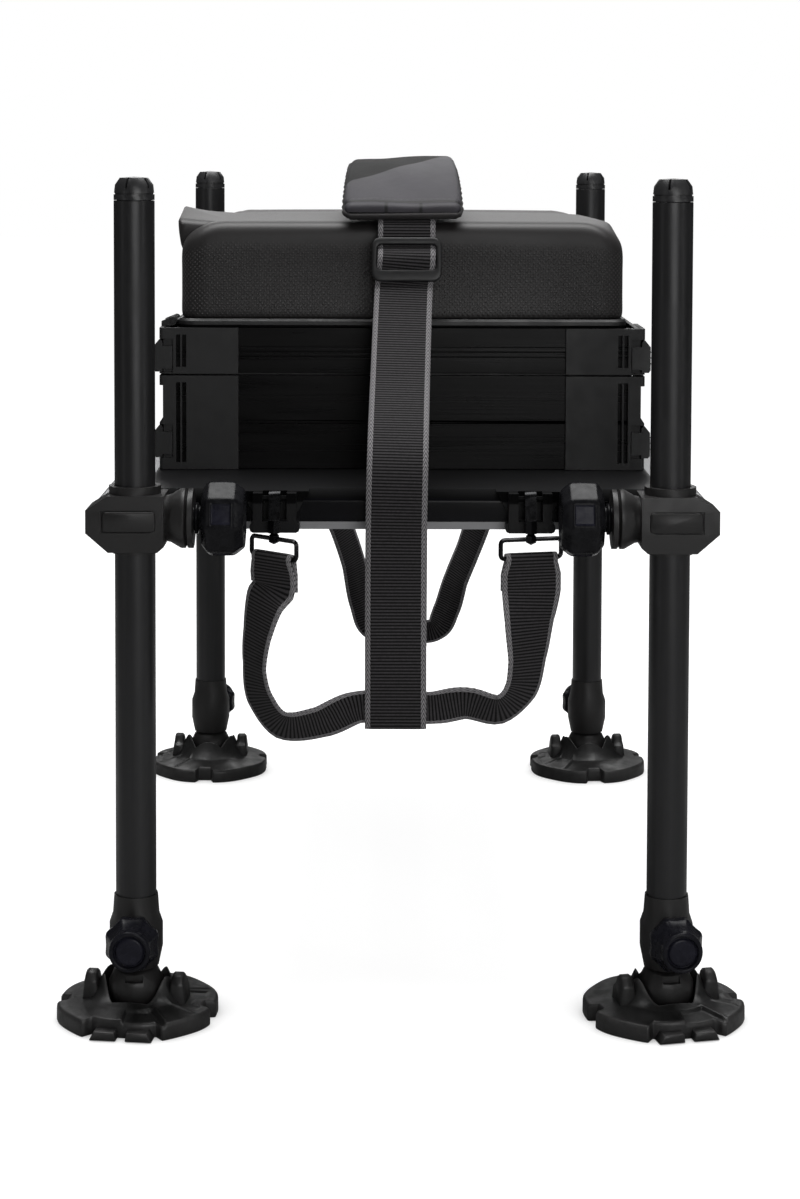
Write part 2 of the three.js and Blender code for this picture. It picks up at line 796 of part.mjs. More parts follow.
// Hollow rail along Y on each side, with a slot in its outer face
function sideRail() {
  const shape = roundedRectangle(sideRailWidth, sideRailHeight, sideRailCorner);
  const [hollowX, hollowZ] = [sideRailWidth / 2 - sideRailWall, sideRailHeight / 2 - sideRailWall];
  shape.holes.push(outline([
    [-hollowX, -hollowZ], [-hollowX, hollowZ], [hollowX, hollowZ], [hollowX, -hollowZ],
  ]));
  const reach = legY - clampHalfWidth - restGap;
  const rail = extrudeAlongY(shape, -reach, reach, 2);
  const outer = sideRailWidth / 2;
  const slot = box(
    -outer - cutOverrun, -outer + railSlotDepth, -reach - cutOverrun, reach + cutOverrun,
    -railSlotWidth / 2, railSlotWidth / 2,
  );
  return cut(rail, slot);
}

const sideRailX = legX - cutOverrun + sideRailWidth / 2;

const deckRibShares = [0.55, 0.85];

// End rail along X: a round-nosed beam with a deck that reaches under the box, and two strap brackets.
// Its outer face looks along -Y.
function endRail() {
  const face = -endRailFace;
  const bottom = deckTop - endRailHeight;
  const lip = bottom + endRailLipHeight;
  const shape = new THREE.Shape();
  shape.moveTo(face - endRailLipProud, bottom);
  shape.lineTo(face + endRailDepth, bottom);
  shape.lineTo(face + endRailDepth, deckTop - deckThickness);
  for (const ribShare of deckRibShares) {
    const rib = face + deckReach * ribShare;
    shape.lineTo(rib, deckTop - deckThickness);
    shape.lineTo(rib, deckTop - deckThickness - deckRibHeight);
    shape.lineTo(rib + deckRibWidth, deckTop - deckThickness - deckRibHeight);
    shape.lineTo(rib + deckRibWidth, deckTop - deckThickness);
  }
  shape.lineTo(face + deckReach, deckTop - deckThickness);
  shape.lineTo(face + deckReach, deckTop);
  shape.lineTo(face + endRailNose, deckTop);
  shape.absarc(face + endRailNose, deckTop - endRailNose, endRailNose, turnRight, Math.PI);
  shape.lineTo(face, lip);
  shape.lineTo(face - endRailLipProud, lip);
  const reach = sideRailX - sideRailWidth / 2 - restGap;
  const beam = extrudeAlongX(shape, -reach, reach);
  const gripProfile = [[0, -gripHollowWidth / 2], [endRailNose, 0], [0, gripHollowWidth / 2]];
  const hollow = turnAboutX(gripProfile, pinSides);
  hollow.translate(0, face, deckTop + endRailNose - gripHollowDepth);
  const brackets = [-1, 1].map((side) => strapBracket(face).translate(side * bracketOffset, 0, 0));
  const channels = [-1, 1].map((side) => bracketChannel(face).translate(side * bracketOffset, 0, 0));
  const bars = [-1, 1].map((side) => bracketBar(face).translate(side * bracketOffset, 0, 0));
  return join(cut(join(beam, ...brackets), hollow, ...channels), ...bars);
}

function strapBracket(face) {
  const low = deckTop - endRailHeight - bracketDrop;
  const front = face - bracketProud;
  const body = box(-bracketWidth / 2, bracketWidth / 2, front, face + cutOverrun, low, deckTop - restGap);
  const lipBand = roundedRectangle(bracketLipWidth, bracketLipHeight, bracketLipHeight / 3);
  const lip = extrudeAlongY(lipBand, front + cutOverrun, face + cutOverrun, 1);
  lip.translate(0, 0, low + bracketLipHeight / 2);
  const flare = extrudeAlongY(outline([
    [-bracketFlareWidth / 2, deckTop], [-bracketWidth / 2, deckTop - bracketFlareHeight],
    [bracketWidth / 2, deckTop - bracketFlareHeight], [bracketFlareWidth / 2, deckTop],
  ]), face - bracketFlareProud, face + endRailNose);
  return join(body, lip, flare);
}

function bracketChannel(face) {
  const low = deckTop - endRailHeight - bracketDrop + bracketFloor;
  return box(
    -bracketChannelWidth / 2, bracketChannelWidth / 2, face - bracketProud - cutOverrun, face - bracketBack,
    low, deckTop + cutOverrun,
  );
}

function barPlace(face) {
  return [face - bracketProud + 2 * bracketBarRadius, deckTop - bracketBarDrop];
}

function bracketBar(face) {
  const [y, z] = barPlace(face);
  const half = bracketChannelWidth / 2 + cutOverrun;
  return rod(bracketBarRadius, -half, half, 6).rotateY(turnRight).translate(0, y, z);
}

// Snap hook: a bent plate over the bracket's bar, a swivel and the eye that holds the webbing
function hookPlate(face) {
  const [barY, barZ] = barPlace(face);
  const inner = bracketBarRadius + slipGap;
  const outer = inner + hookPlateThickness;
  const swivelTop = eyeTop + eyeWireRadius + hookBallRadius / 2 + hookSwivelHeight;
  const line = -hookLine;
  const shape = new THREE.Shape();
  shape.moveTo(barY + inner, barZ - outer);
  shape.lineTo(barY + outer, barZ - outer);
  shape.absarc(barY, barZ, outer, 0, Math.PI);
  shape.lineTo(line - hookPlateThickness / 2, swivelTop - cutOverrun);
  shape.lineTo(line + hookPlateThickness / 2, swivelTop - cutOverrun);
  shape.lineTo(barY - inner, barZ - inner);
  shape.absarc(barY, barZ, inner, Math.PI, 0, true);
  return extrudeAlongX(shape, -hookPlateWidth / 2, hookPlateWidth / 2, 4);
}

function eyeRing(turn) {
  const sides = 5;
  const [halfWide, halfHigh] = [eyeWidth / 2 - eyeWireRadius, eyeHeight / 2 - eyeWireRadius];
  const line = roundedRectangle(2 * halfWide, 2 * halfHigh, eyeCorner - eyeWireRadius).getPoints(2);
  const path = line.filter((point, i) => i === 0 || point.distanceTo(line[i - 1]) > 1e-6);
  if (path[0].distanceTo(path.at(-1)) < 1e-6) path.pop();
  const rings = path.map((point, i) => {
    const before = path[(i + path.length - 1) % path.length];
    const after = path[(i + 1) % path.length];
    const along = after.clone().sub(before).normalize();
    const out = new THREE.Vector2(along.y, -along.x);
    const ring = [];
    for (let j = 0; j < sides; j += 1) {
      const angle = (j / sides) * 2 * Math.PI;
      const reach = eyeWireRadius * Math.cos(angle);
      ring.push(new THREE.Vector3(
        point.x + out.x * reach, eyeWireRadius * Math.sin(angle), point.y + out.y * reach,
      ));
    }
    return ring;
  });
  return loftClosed(rings).rotateZ(THREE.MathUtils.degToRad(turn));
}

function snapHook(turn) {
  const eye = eyeRing(turn).translate(0, -hookLine, eyeTop - eyeHeight / 2 + eyeWireRadius);
  const neck = eyeTop + hookBallRadius;
  const swivel = turnAboutZ([
    [0, eyeTop - hookBallRadius], [hookBallRadius, eyeTop - hookBallRadius / 2],
    [hookBallRadius, eyeTop + hookBallRadius / 2], [hookBallRadius / 2, neck], [hookSwivelRadius, neck],
    [hookSwivelRadius, neck + hookSwivelHeight], [0, neck + hookSwivelHeight],
  ], 6);
  swivel.translate(0, -hookLine, 0);
  return join(hookPlate(-endRailFace), swivel, eye);
}

// Box units: a moulding with a floor and four corner blocks round ribbed aluminium walls
function inCorner(geometry, x, y) {
  const turned = x > 0 ? geometry : mirroredX(geometry);
  return y > 0 ? turned : mirroredY(turned);
}

const cornerSigns = [[-1, -1], [1, -1], [-1, 1], [1, 1]];

// One corner block, drawn for the corner where X and Y are highest
function cornerBlock(low, high) {
  const [x, y] = [halfWidth, halfDepth];
  const shape = new THREE.Shape();
  shape.moveTo(x - blockWidth, y);
  shape.lineTo(x - blockWidth, y - blockThickness);
  shape.lineTo(x - blockThickness, y - blockThickness);
  shape.lineTo(x - blockThickness, y - blockWidth);
  shape.lineTo(x, y - blockWidth);
  shape.lineTo(x, y - blockCorner);
  shape.absarc(x - blockCorner, y - blockCorner, blockCorner, 0, turnRight);
  shape.lineTo(x - blockWidth, y);
  const cuts = [];
  for (const place of [slotOffset, slotOffset + slotPitch]) {
    cuts.push(box(
      x - place - slotWidth, x - place, y - blockThickness - cutOverrun, y + cutOverrun,
      low + slotMargin, high - slotMargin,
    ));
  }
  return cut(extrudeUp(shape, low, high, 3), ...cuts);
}

function latchPocket(top) {
  const [x, y] = [halfWidth, halfDepth];
  const bottom = top - latchHeight - slipGap;
  const headroom = top + slipGap;
  return [
    box(
      x - latchSunk - slipGap, x + cutOverrun, y - latchLength - slipGap, y + cutOverrun,
      bottom, headroom,
    ),
    box(
      x - latchSunk - latchFaceWidth - slipGap, x, y - latchSunk - slipGap, y + cutOverrun,
      bottom, headroom,
    ),
  ];
}

function floorAndPads(low) {
  const inset = wallOutset + wallThickness + restGap;
  const high = low + floorThickness;
  const floor = box(
    -halfWidth + inset, halfWidth - inset, -halfDepth + inset, halfDepth - inset, low, high,
  );
  const pad = extrudeUp(outline([
    [halfWidth - blockWidth, halfDepth - blockWidth],
    [halfWidth - blockThickness / 2, halfDepth - blockWidth],
    [halfWidth - blockThickness / 2, halfDepth - blockThickness / 2],
    [halfWidth - blockWidth, halfDepth - blockThickness / 2],
  ]), low, high);
  return join(floor, ...cornerSigns.map(([x, y]) => inCorner(pad, x, y)));
}

function unitMoulding(low, high, latchTop) {
  const block = cornerBlock(low, high);
  const pockets = latchPocket(latchTop);
  const body = join(floorAndPads(low), ...cornerSigns.map(([x, y]) => inCorner(block, x, y)));
  return cut(body, ...cornerSigns.flatMap(([x, y]) => pockets.map((pocket) => inCorner(pocket, x, y))));
}

// Section of a ribbed wall: outset from the wall's outer face, and height
function wallSection(low, high, grooves) {
  const section = [[-wallThickness, low], [0, low]];
  for (const [share, width, depth] of grooves) {
    const middle = low + share * (high - low);
    section.push(
      [0, middle - width / 2], [-depth, middle - width / 2], [-depth, middle + width / 2],
      [0, middle + width / 2],
    );
  }
  section.push([0, high], [-wallThickness, high]);
  return section;
}

// A mitred frame of one section round the box, left open at the front if openFront is true
function wallFrame(low, high, grooves, openFront) {
  const section = wallSection(low, high, grooves);
  const [x, y] = [halfWidth - wallOutset, halfDepth - wallOutset];
  const ringAt = (signX, signY, moveX) => section.map(([out, height]) => new THREE.Vector3(
    signX * (x + out * moveX), signY * (y + out), height,
  ));
  const frame = openFront
    ? loft([ringAt(1, -1, 0), ringAt(-1, -1, 1), ringAt(-1, 1, 1), ringAt(1, 1, 0)])
    : loftClosed([ringAt(1, -1, 1), ringAt(-1, -1, 1), ringAt(-1, 1, 1), ringAt(1, 1, 1)]);
  const pad = box(
    halfWidth - blockWidth - restGap, halfWidth, halfDepth - blockWidth - restGap, halfDepth,
    low - cutOverrun, low + floorThickness + restGap,
  );
  return cut(frame, ...cornerSigns.map(([signX, signY]) => inCorner(pad, signX, signY)));
}

function narrowGrooves(shares) {
  return shares.map((share) => [share, grooveWidth, grooveDepth]);
}

const lowerGrooves = [
  ...narrowGrooves(lowerGrooveShares.slice(0, 2)), [deepGrooveShare, deepGrooveWidth, deepGrooveDepth],
  ...narrowGrooves(lowerGrooveShares.slice(2)),
];

const openingHalf = halfDepth - blockWidth;
const drawerHalf = openingHalf - drawerFit;

// Recess down to the wall in the outer side of a corner block, above its latch
function sideRecess() {
  const [x, y] = [halfWidth, halfDepth];
  const inner = x - blockThickness;
  const shape = outline([
    [inner, lowerBottom + recessLow], [inner, lowerBottom + recessHigh],
    [x + cutOverrun, lowerBottom + recessHigh], [x + cutOverrun, lowerBottom + recessLow - recessSlope],
    [x, lowerBottom + recessLow - recessSlope],
  ]);
  return extrudeAlongY(shape, y - latchLength - slipGap, y + cutOverrun);
}

function lowerMoulding() {
  const runner = box(
    -halfWidth + blockWidth, halfWidth - blockWidth, drawerHalf + slipGap,
    drawerHalf + slipGap + runnerWidth, lowerBottom + floorThickness / 2,
    lowerBottom + floorThickness + runnerHeight,
  );
  const body = unitMoulding(lowerBottom, lowerTop, lowerBottom + lowerLatchRise);
  const recesses = cornerSigns.map(([x, y]) => inCorner(sideRecess(), x, y));
  return join(cut(body, ...recesses), runner, mirroredY(runner));
}

const hingeX = -boardWidth / 2 - hingeOffset;
const hingeZ = boardBottom + hingeBarrelRadius;

// Ear of the seat's hinge, rooted on a rear corner block and standing clear of the wall inside it
function hingeEar(low) {
  const foot = -halfWidth + blockThickness;
  const shape = new THREE.Shape();
  shape.moveTo(-halfWidth, upperTop - cutOverrun);
  shape.lineTo(foot, upperTop - cutOverrun);
  shape.lineTo(foot, boardBottom);
  shape.lineTo(hingeX, boardBottom);
  shape.absarc(hingeX, hingeZ, hingeBarrelRadius, -turnRight, turnRight);
  shape.lineTo(-halfWidth, hingeZ);
  const hole = new THREE.Path();
  hole.absarc(hingeX, hingeZ, hingePinRadius + slipGap / 2, 0, 4 * turnRight);
  shape.holes.push(hole);
  return extrudeAlongY(shape, low, low + hingeEarWidth);
}

// Upper moulding, with a plinth that locates it on the lower unit and ears for the seat's hinge
function upperMoulding() {
  const inset = plinthInset + wallOutset;
  const plinth = box(
    -halfWidth + inset, halfWidth - inset, -halfDepth + inset, halfDepth - inset,
    lowerTop + restGap, upperBottom + floorThickness / 2,
  );
  const reach = hingeBarrelLength / 2 + slipGap;
  const ears = [-1, 1].flatMap((side) => [
    hingeEar(side * hingeSpread - reach - hingeEarWidth), hingeEar(side * hingeSpread + reach),
  ]);
  return join(unitMoulding(upperBottom, upperTop, upperBottom + upperLatchRise), plinth, ...ears);
}

const latchRibShares = [0.26, 0.44, 0.62];

// Latch that hangs from a pivot along Y, drawn for the corner where X and Y are highest
function latch(top) {
  const [x, y] = [halfWidth, halfDepth];
  const pivot = [x - latchSunk + latchPivotRadius, top - latchPivotRadius];
  const face = x + latchProud;
  const bottom = top - latchHeight;
  const shape = new THREE.Shape();
  shape.moveTo(x - latchSunk, bottom);
  shape.lineTo(face - latchProud / 3, bottom);
  shape.lineTo(face, bottom + latchProud / 2);
  for (const share of latchRibShares) {
    const rib = bottom + share * latchHeight;
    shape.lineTo(face, rib);
    shape.lineTo(face + latchRibHeight, rib + latchRibWidth / 2);
    shape.lineTo(face, rib + latchRibWidth);
  }
  shape.lineTo(face, top - 2 * latchPivotRadius);
  shape.lineTo(pivot[0], top);
  shape.absarc(pivot[0], pivot[1], latchPivotRadius, turnRight, Math.PI);
  shape.lineTo(x - latchSunk, bottom);
  const side = extrudeAlongY(shape, y - latchLength, y + latchFaceProud, 3);
  const faceTop = top - 2 * latchPivotRadius;
  const flange = box(
    x - latchSunk - latchFaceWidth, x, y - latchSunk, y + latchFaceProud, bottom + latchRelief, faceTop,
  );
  return join(side, flange);
}

// Drawer with ribbed front between the front corner blocks
function frontDrawer() {
  const low = lowerBottom + floorThickness + drawerRise;
  const high = lowerTop - drawerRise;
  const front = halfWidth - wallOutset;
  const back = front - drawerDepth;
  const tray = cut(
    box(back, front - drawerWall, -drawerHalf, drawerHalf, low, high - drawerWall),
    box(
      back + drawerWall, front - 2 * drawerWall, -drawerHalf + drawerWall, drawerHalf - drawerWall,
      low + drawerWall, high + cutOverrun,
    ),
  );
  const section = wallSection(lowerBottom + restGap, high, lowerGrooves);
  const panel = extrudeAlongY(
    outline(section.map(([out, height]) => [front + out, height])), -drawerHalf, drawerHalf,
  );
  const grip = box(
    front - drawerGripDepth, front + cutOverrun, -drawerGripWidth / 2, drawerGripWidth / 2,
    high - drawerGripHeight, high + cutOverrun,
  );
  return cut(join(tray, panel), grip);
}

function addBoxUnits() {
  const lowerWalls = wallFrame(lowerBottom + restGap, lowerTop, lowerGrooves, true);
  addPiece(seatBox, "lower_unit_moulding", lowerMoulding(), "moulding");
  addPiece(seatBox, "lower_unit_walls", lowerWalls, "wall");
  addPiece(seatBox, "front_drawer", frontDrawer(), "wall");
  const upperWalls = wallFrame(upperBottom + restGap, upperTop, narrowGrooves(upperGrooveShares), false);
  addPiece(seatBox, "upper_unit_moulding", upperMoulding(), "moulding");
  addPiece(seatBox, "upper_unit_walls", upperWalls, "wall");
  for (const corner of corners) {
    const low = inCorner(latch(lowerBottom + lowerLatchRise), corner.x, corner.y);
    const high = inCorner(latch(upperBottom + upperLatchRise), corner.x, corner.y);
    addPiece(seatBox, `${corner.name}_lower_latch`, low, "blackPlastic");
    addPiece(seatBox, `${corner.name}_upper_latch`, high, "blackPlastic");
  }
}

// Seat board with a rounded edge, hinge barrels and pins
function seatBoard() {
  const board = new THREE.ExtrudeGeometry(
    roundedRectangle(boardWidth - 2 * boardBevel, boardDepth - 2 * boardBevel, boardCorner - boardBevel), {
      depth: boardThickness - 2 * boardBevel, bevelEnabled: true, bevelSize: boardBevel,
      bevelThickness: boardBevel, bevelSegments: 1, curveSegments: 3,
    },
  ).translate(0, 0, boardBottom + boardBevel);
  const parts = [];
  for (const side of [-1, 1]) {
    const half = hingeBarrelLength / 2;
    const place = side * hingeSpread;
    const pinReach = half + slipGap + hingeEarWidth;
    const barrel = turnAboutZ([
      [0, -pinReach], [hingePinRadius, -pinReach], [hingePinRadius, -half], [hingeBarrelRadius, -half],
      [hingeBarrelRadius, half], [hingePinRadius, half], [hingePinRadius, pinReach], [0, pinReach],
    ], pinSides);
    barrel.rotateX(-turnRight).translate(hingeX, place, hingeZ);
    const leaf = box(
      hingeX, -boardWidth / 2 + boardCorner, place - half, place + half,
      boardBottom + boardBevel, boardBottom + boardThickness - boardBevel,
    );
    parts.push(barrel, leaf);
  }
  return join(board, ...parts);
}

// Inset and height of the cushion's rings, as shares of the rounded edge and of the thickness
const cushionRingShares = [
  [0.06, 0], [0, 0.05], [0, 0.2], [0, 0.4], [0, 0.62], [0.08, 0.78], [0.25, 0.9], [0.5, 0.965], [0.8, 0.995],
];
const cushionTopShares = [0.9, 0.7, 0.45, 0.2];
const cushionTopFitShare = 0.98;
const cushionPullShares = [0, 0.3, 0.8, 1, 0.8, 0.4, 0.2, 0.1, 0];
const seatLipSharpShare = 0.85;

// Share of the raised rear edge at a place along Y: it starts behind the near face and dies away
function lipShare(y, halfY) {
  const start = -halfY + seatLipSetback;
  if (y < start) return THREE.MathUtils.clamp((y - start + seatLipStart) / seatLipStart, 0, 1);
  return THREE.MathUtils.clamp((halfY / 2 - y) / (halfY / 2 - start), 0, 1);
}

// How far the seat's top stands above its edge: a crown, a slight fall and the raised rear edge
function seatRise(x, y, halfX, halfY) {
  const crown = cushionCrown * (1 - (x / halfX) ** 2) * (1 - (y / halfY) ** 2);
  const slope = THREE.MathUtils.clamp((seatLipWidth - halfX - x) / seatLipWidth, 0, 1);
  const fall = (seatFall * (y + halfY)) / (2 * halfY);
  return crown - fall + seatLipRise * slope * lipShare(y, halfY);
}

function cushionRing(halfX, halfY, radius, pull) {
  const points = roundedRectangle(2 * halfX, 2 * halfY, radius).getSpacedPoints(40).slice(0, -1);
  return points.map((point) => {
    const alongX = Math.cos((point.x / halfX) * turnRight);
    const alongY = Math.cos((point.y / halfY) * turnRight);
    const onSideX = Math.abs(point.x) > halfX - radius;
    const onSideY = Math.abs(point.y) > halfY - radius;
    const inX = onSideX && !onSideY ? pull * alongY : 0;
    const inY = onSideY && !onSideX ? pull * alongX : 0;
    return new THREE.Vector2(point.x - Math.sign(point.x) * inX, point.y - Math.sign(point.y) * inY);
  });
}

function seatCushion() {
  const halfX = boardWidth / 2 - cushionInset;
  const halfY = boardDepth / 2 - cushionInset;
  const rings = [];
  const addRing = (inset, share, radius, pull, lift) => {
    const ring = cushionRing(halfX - inset, halfY - inset, radius, pull);
    rings.push(ring.map((point) => {
      const lip = point.x < -halfX / 2 ? lipShare(point.y, halfY) : 0;
      const x = point.x - lip * (lift * seatLipBulge + inset * seatLipSharpShare);
      const rise = seatRise(x, point.y, halfX, halfY) * lift;
      return new THREE.Vector3(x, point.y, cushionBottom + share * (cushionThickness + rise));
    }));
  };
  cushionRingShares.forEach(([inset, share], i) => {
    const lift = share ** 2;
    addRing(inset * cushionEdge, share, cushionCorner, cushionPull * cushionPullShares[i], lift);
  });
  cushionTopShares.forEach((share) => {
    const inset = (1 - share) * halfX * cushionTopFitShare + cushionEdge * share;
    const radius = cushionCorner * share;
    const ring = cushionRing(halfX - inset, halfY - inset, radius, 0);
    rings.push(ring.map((point) => {
      const rise = seatRise(point.x, point.y, halfX, halfY);
      return new THREE.Vector3(point.x, point.y, cushionBottom + cushionThickness + rise);
    }));
  });
  return loft(rings);
}

// Shoulder pad: an arch over the seat, with the carrying strap under it
const padSteps = 12;

// A place at a distance above the arched underside of the pad, measured square to it
function offPad(y, above) {
  const slope = (-8 * padRise * y) / padLength ** 2;
  const height = seatTop + padBase + padRise * (1 - (2 * y / padLength) ** 2);
  const long = Math.hypot(1, slope);
  return [y - (above * slope) / long, height + above / long];
}

function shoulderPad() {
  const across = new THREE.Vector3(-1, 0, 0);
  const stations = [];
  for (let i = 0; i <= padSteps; i += 1) {
    const y = (i / padSteps - 1 / 2) * padLength;
    const at = new THREE.Vector3(0, ...offPad(y, padThickness / 2));
    stations.push({ at, across, width: padWidth, thickness: padThickness });
  }
  return strip(stations, padSteps, padEdge);
}

// Buckle with two slots, leaning so that its lower bar stands further out. It is drawn along the
// strap: places on it are a distance down from its middle and a distance out from its plane.
const buckleLean = Math.asin(0.3);

function onBuckle(down, out) {
  return [
    buckleReach + down * Math.sin(buckleLean) + out * Math.cos(buckleLean),
    buckleCentre - down * Math.cos(buckleLean) + out * Math.sin(buckleLean),
  ];
}

function strapBuckle() {
  const shape = roundedRectangle(buckleWidth, buckleHeight, buckleCorner);
  const slotHeight = (buckleHeight - 3 * buckleBar) / 2;
  const slotHalf = webbingWidth / 2 + restGap;
  for (const side of [-1, 1]) {
    const middle = (side * (slotHeight + buckleBar)) / 2;
    const [low, high] = [middle - slotHeight / 2, middle + slotHeight / 2];
    const slot = outline([[-slotHalf, low], [-slotHalf, high], [slotHalf, high], [slotHalf, low]]);
    shape.holes.push(slot);
  }
  const buckle = extrudeAlongY(shape, -buckleThickness / 2, buckleThickness / 2, 2);
  return buckle.rotateX(-buckleLean).translate(buckleShift, -buckleReach, buckleCentre);
}

// Carrying strap: places are given as X, distance out from the middle along Y, and height. The loop's
// round bottom takes its shares out of half the loop's width and out of the bottom's rise.
const loopWideShare = 0.8;
const loopRiseShare = 0.6;

function loopUnder(x, height) {
  const half = foldedThickness / 2 + slipGap + webbingThickness / 2;
  const low = height - foldedWidth / 2 - 3 * slipGap - webbingThickness;
  const high = height + foldedWidth / 2 + webbingThickness;
  const rise = half / 2;
  return [
    [x, bandReach + half, high], [x, bandReach + half, low + 2 * rise],
    [x, bandReach + loopWideShare * half, low + loopRiseShare * rise], [x, bandReach, low],
    [x, bandReach - loopWideShare * half, low + loopRiseShare * rise],
    [x, bandReach - half, low + 2 * rise], [x, bandReach - half, high],
  ];
}

const underPadGap = restGap + webbingThickness / 2;
const weaveOffset = buckleThickness / 2 + restGap + webbingThickness / 2;

// The strap's way from the end of the pad down to the buckle, and through it
function overSeatEdge(x) {
  const [out, height] = offPad(padLength / 2, -underPadGap);
  const [topOut, topHeight] = onBuckle(-buckleHeight / 2 - webbingThickness, -weaveOffset);
  return [[x, out, height], [x, (out + topOut) / 2 + webbingThickness, (height + topHeight) / 2]];
}

const weaveShares = [
  [-1.08, -1], [-0.74, -1.1], [-0.43, 0], [-0.14, 1.08], [0.14, 1.08], [0.43, 0], [0.74, -1.1], [1.08, -1],
];
const returnShares = [[1.08, -2.3], [0.8, -2.2], [0.5, -1.6], [0.2, -1.02], [-0.1, -1.02]];

function alongBuckle(shares) {
  return shares.map(([down, out]) => {
    const [reach, height] = onBuckle((down * buckleHeight) / 2, out * weaveOffset);
    return [buckleShift, reach, height];
  });
}

function underPad(side) {
  const places = [];
  for (const share of [1 / 3, 2 / 3]) {
    places.push([0, ...offPad((share * padLength) / 2, -underPadGap)]);
  }
  return side < 0 ? places.reverse() : places;
}

// The way down from the seat past the end rail, at a distance behind the strap's front layer
function pastRail(x, low, behind) {
  const lean = (strapReach - buckleReach) / (buckleCentre - strapCornerHeight);
  const middle = (buckleReach + strapReach) / 2;
  const height = (buckleCentre - buckleHeight / 2 + strapCornerHeight) / 2;
  return [
    [x / 2, middle - behind, height - behind * lean],
    [x, strapReach - behind, strapCornerHeight],
    [x, strapReach + webbingThickness - behind, (2 * strapCornerHeight + low) / 3],
  ];
}

function carryStrap() {
  const nearLoop = loopUnder(nearStrapShift, nearBandHeight);
  const farLoop = loopUnder(farStrapShift, farBandHeight);
  const near = [
    ...alongBuckle(returnShares).reverse(),
    ...pastRail(nearStrapShift, nearBandHeight, strapLayerGap),
    ...nearLoop.slice().reverse(),
    ...pastRail(nearStrapShift, nearBandHeight, 0).reverse(),
    ...alongBuckle(weaveShares).reverse(),
    ...overSeatEdge(buckleShift).reverse(),
  ].map(([x, out, height]) => [x, -out, height]);
  const crown = [0, ...offPad(0, -underPadGap)];
  const nearArch = underPad(-1).map(([x, out, height]) => [x, -out, height]);
  const far = [
    ...overSeatEdge(0), ...pastRail(farStrapShift, farBandHeight, 0), ...farLoop,
    ...pastRail(farStrapShift, farBandHeight, strapLayerGap).slice(1).reverse(),
  ];
  const route = [...near, ...nearArch, crown, ...underPad(1), ...far];
  const across = new THREE.Vector3(-1, 0, 0);
  const stations = route.map(([x, y, z]) => ({
    at: new THREE.Vector3(x, y, z), across, width: webbingWidth, thickness: webbingThickness,
  }));
  return strip(stations, stations.length - 1);
}

// Strap between the two hooks of one end: a fold over each eye, and a hanging band between them.
// Each band entry holds X over the hooks' offset, height over the drop below the eyes, the webbing's
// turn away from the viewer in degrees, and how far it is folded to pass through the carrying strap.
const nearBandShares = [
  [-1.06, 0.73, 50, 0], [-1.13, 0.49, 62, 0], [-1.15, 0.27, 66, 0], [-1.1, 0.05, 58, 0.05],
  [-0.93, -0.12, 48, 0.2], [-0.64, -0.1, 35, 0.6], [-0.35, 0, 0, 1], [-0.05, 0, 0, 1], [0.25, 0, 0, 1],
  [0.5, 0.03, 30, 0.7], [0.76, -0.01, 45, 0.3], [0.92, 0.11, 50, 0.1], [0.975, 0.32, 50, 0],
  [0.99, 0.58, 35, 0],
];
const farBandShares = [
  [-0.81, 0.775, 50, 0], [-0.63, 0.56, 62, 0], [-0.5, 0.37, 60, 0.1], [-0.4, 0.15, 40, 0.6],
  [-0.28, 0.01, 0, 1], [0.06, 0, 0, 1], [0.4, 0.01, 0, 1], [0.52, 0.12, 40, 0.6], [0.62, 0.28, 60, 0.1],
  [0.75, 0.44, 62, 0], [0.86, 0.6, 58, 0], [0.95, 0.78, 45, 0],
];
const eyeBar = eyeTop - eyeHeight + 2 * eyeWireRadius;

function foldOverEye(side, turn) {
  const angle = THREE.MathUtils.degToRad(turn);
  const across = new THREE.Vector3(Math.cos(angle), Math.sin(angle), 0);
  const out = new THREE.Vector3(Math.sin(angle), -Math.cos(angle), 0);
  const reach = eyeWireRadius + slipGap + webbingThickness / 2;
  const half = loopLayerGap / 2;
  const places = [
    [-half, -loopTail], [-half, -loopTail / 2], [-reach, 0], [0, reach], [reach, 0], [half, -loopTail / 2],
    [half, -loopTail],
  ];
  const middle = new THREE.Vector3(side * bracketOffset, -hookLine, eyeBar);
  const gathered = eyeWidth - 2 * eyeCorner - 2 * slipGap;
  return places.map(([forward, rise]) => ({
    at: middle.clone().addScaledVector(out, forward).add(new THREE.Vector3(0, 0, rise)),
    across, width: rise < -loopTail / 3 ? webbingWidth : gathered, thickness: webbingThickness,
  }));
}

function hookStrap(bandHeight, shares, leftTurn, rightTurn) {
  const left = foldOverEye(-1, leftTurn);
  const right = foldOverEye(1, rightTurn).reverse().map((station) => ({
    ...station, across: station.across.clone().negate(),
  }));
  const places = shares.map(([along, rise]) => new THREE.Vector3(
    along * bracketOffset, -THREE.MathUtils.lerp(bandReach, hookLine + loopLayerGap / 2, Math.max(rise, 0)),
    THREE.MathUtils.lerp(bandHeight, eyeBar, rise),
  ));
  const path = [left.at(-1).at, ...places, right[0].at];
  const band = shares.map(([, , turn, folded], i) => {
    const along = path[i + 2].clone().sub(path[i]).normalize();
    const angle = THREE.MathUtils.degToRad(turn);
    const across = new THREE.Vector3(-along.z, 0, along.x).multiplyScalar(Math.cos(angle));
    across.y = -Math.sin(angle);
    return {
      at: places[i], across, width: THREE.MathUtils.lerp(webbingWidth, foldedWidth, folded),
      thickness: THREE.MathUtils.lerp(webbingThickness, foldedThickness, folded),
    };
  });
  const stations = [...left, ...band, ...right];
  return strip(stations, 2 * (stations.length - 1));
}

addBoxUnits();
for (const corner of corners) addLeg(corner);
addPiece(seatBox, "seat_board", seatBoard(), "blackPlastic");
addPiece(seatBox, "seat_cushion", seatCushion(), "vinyl");

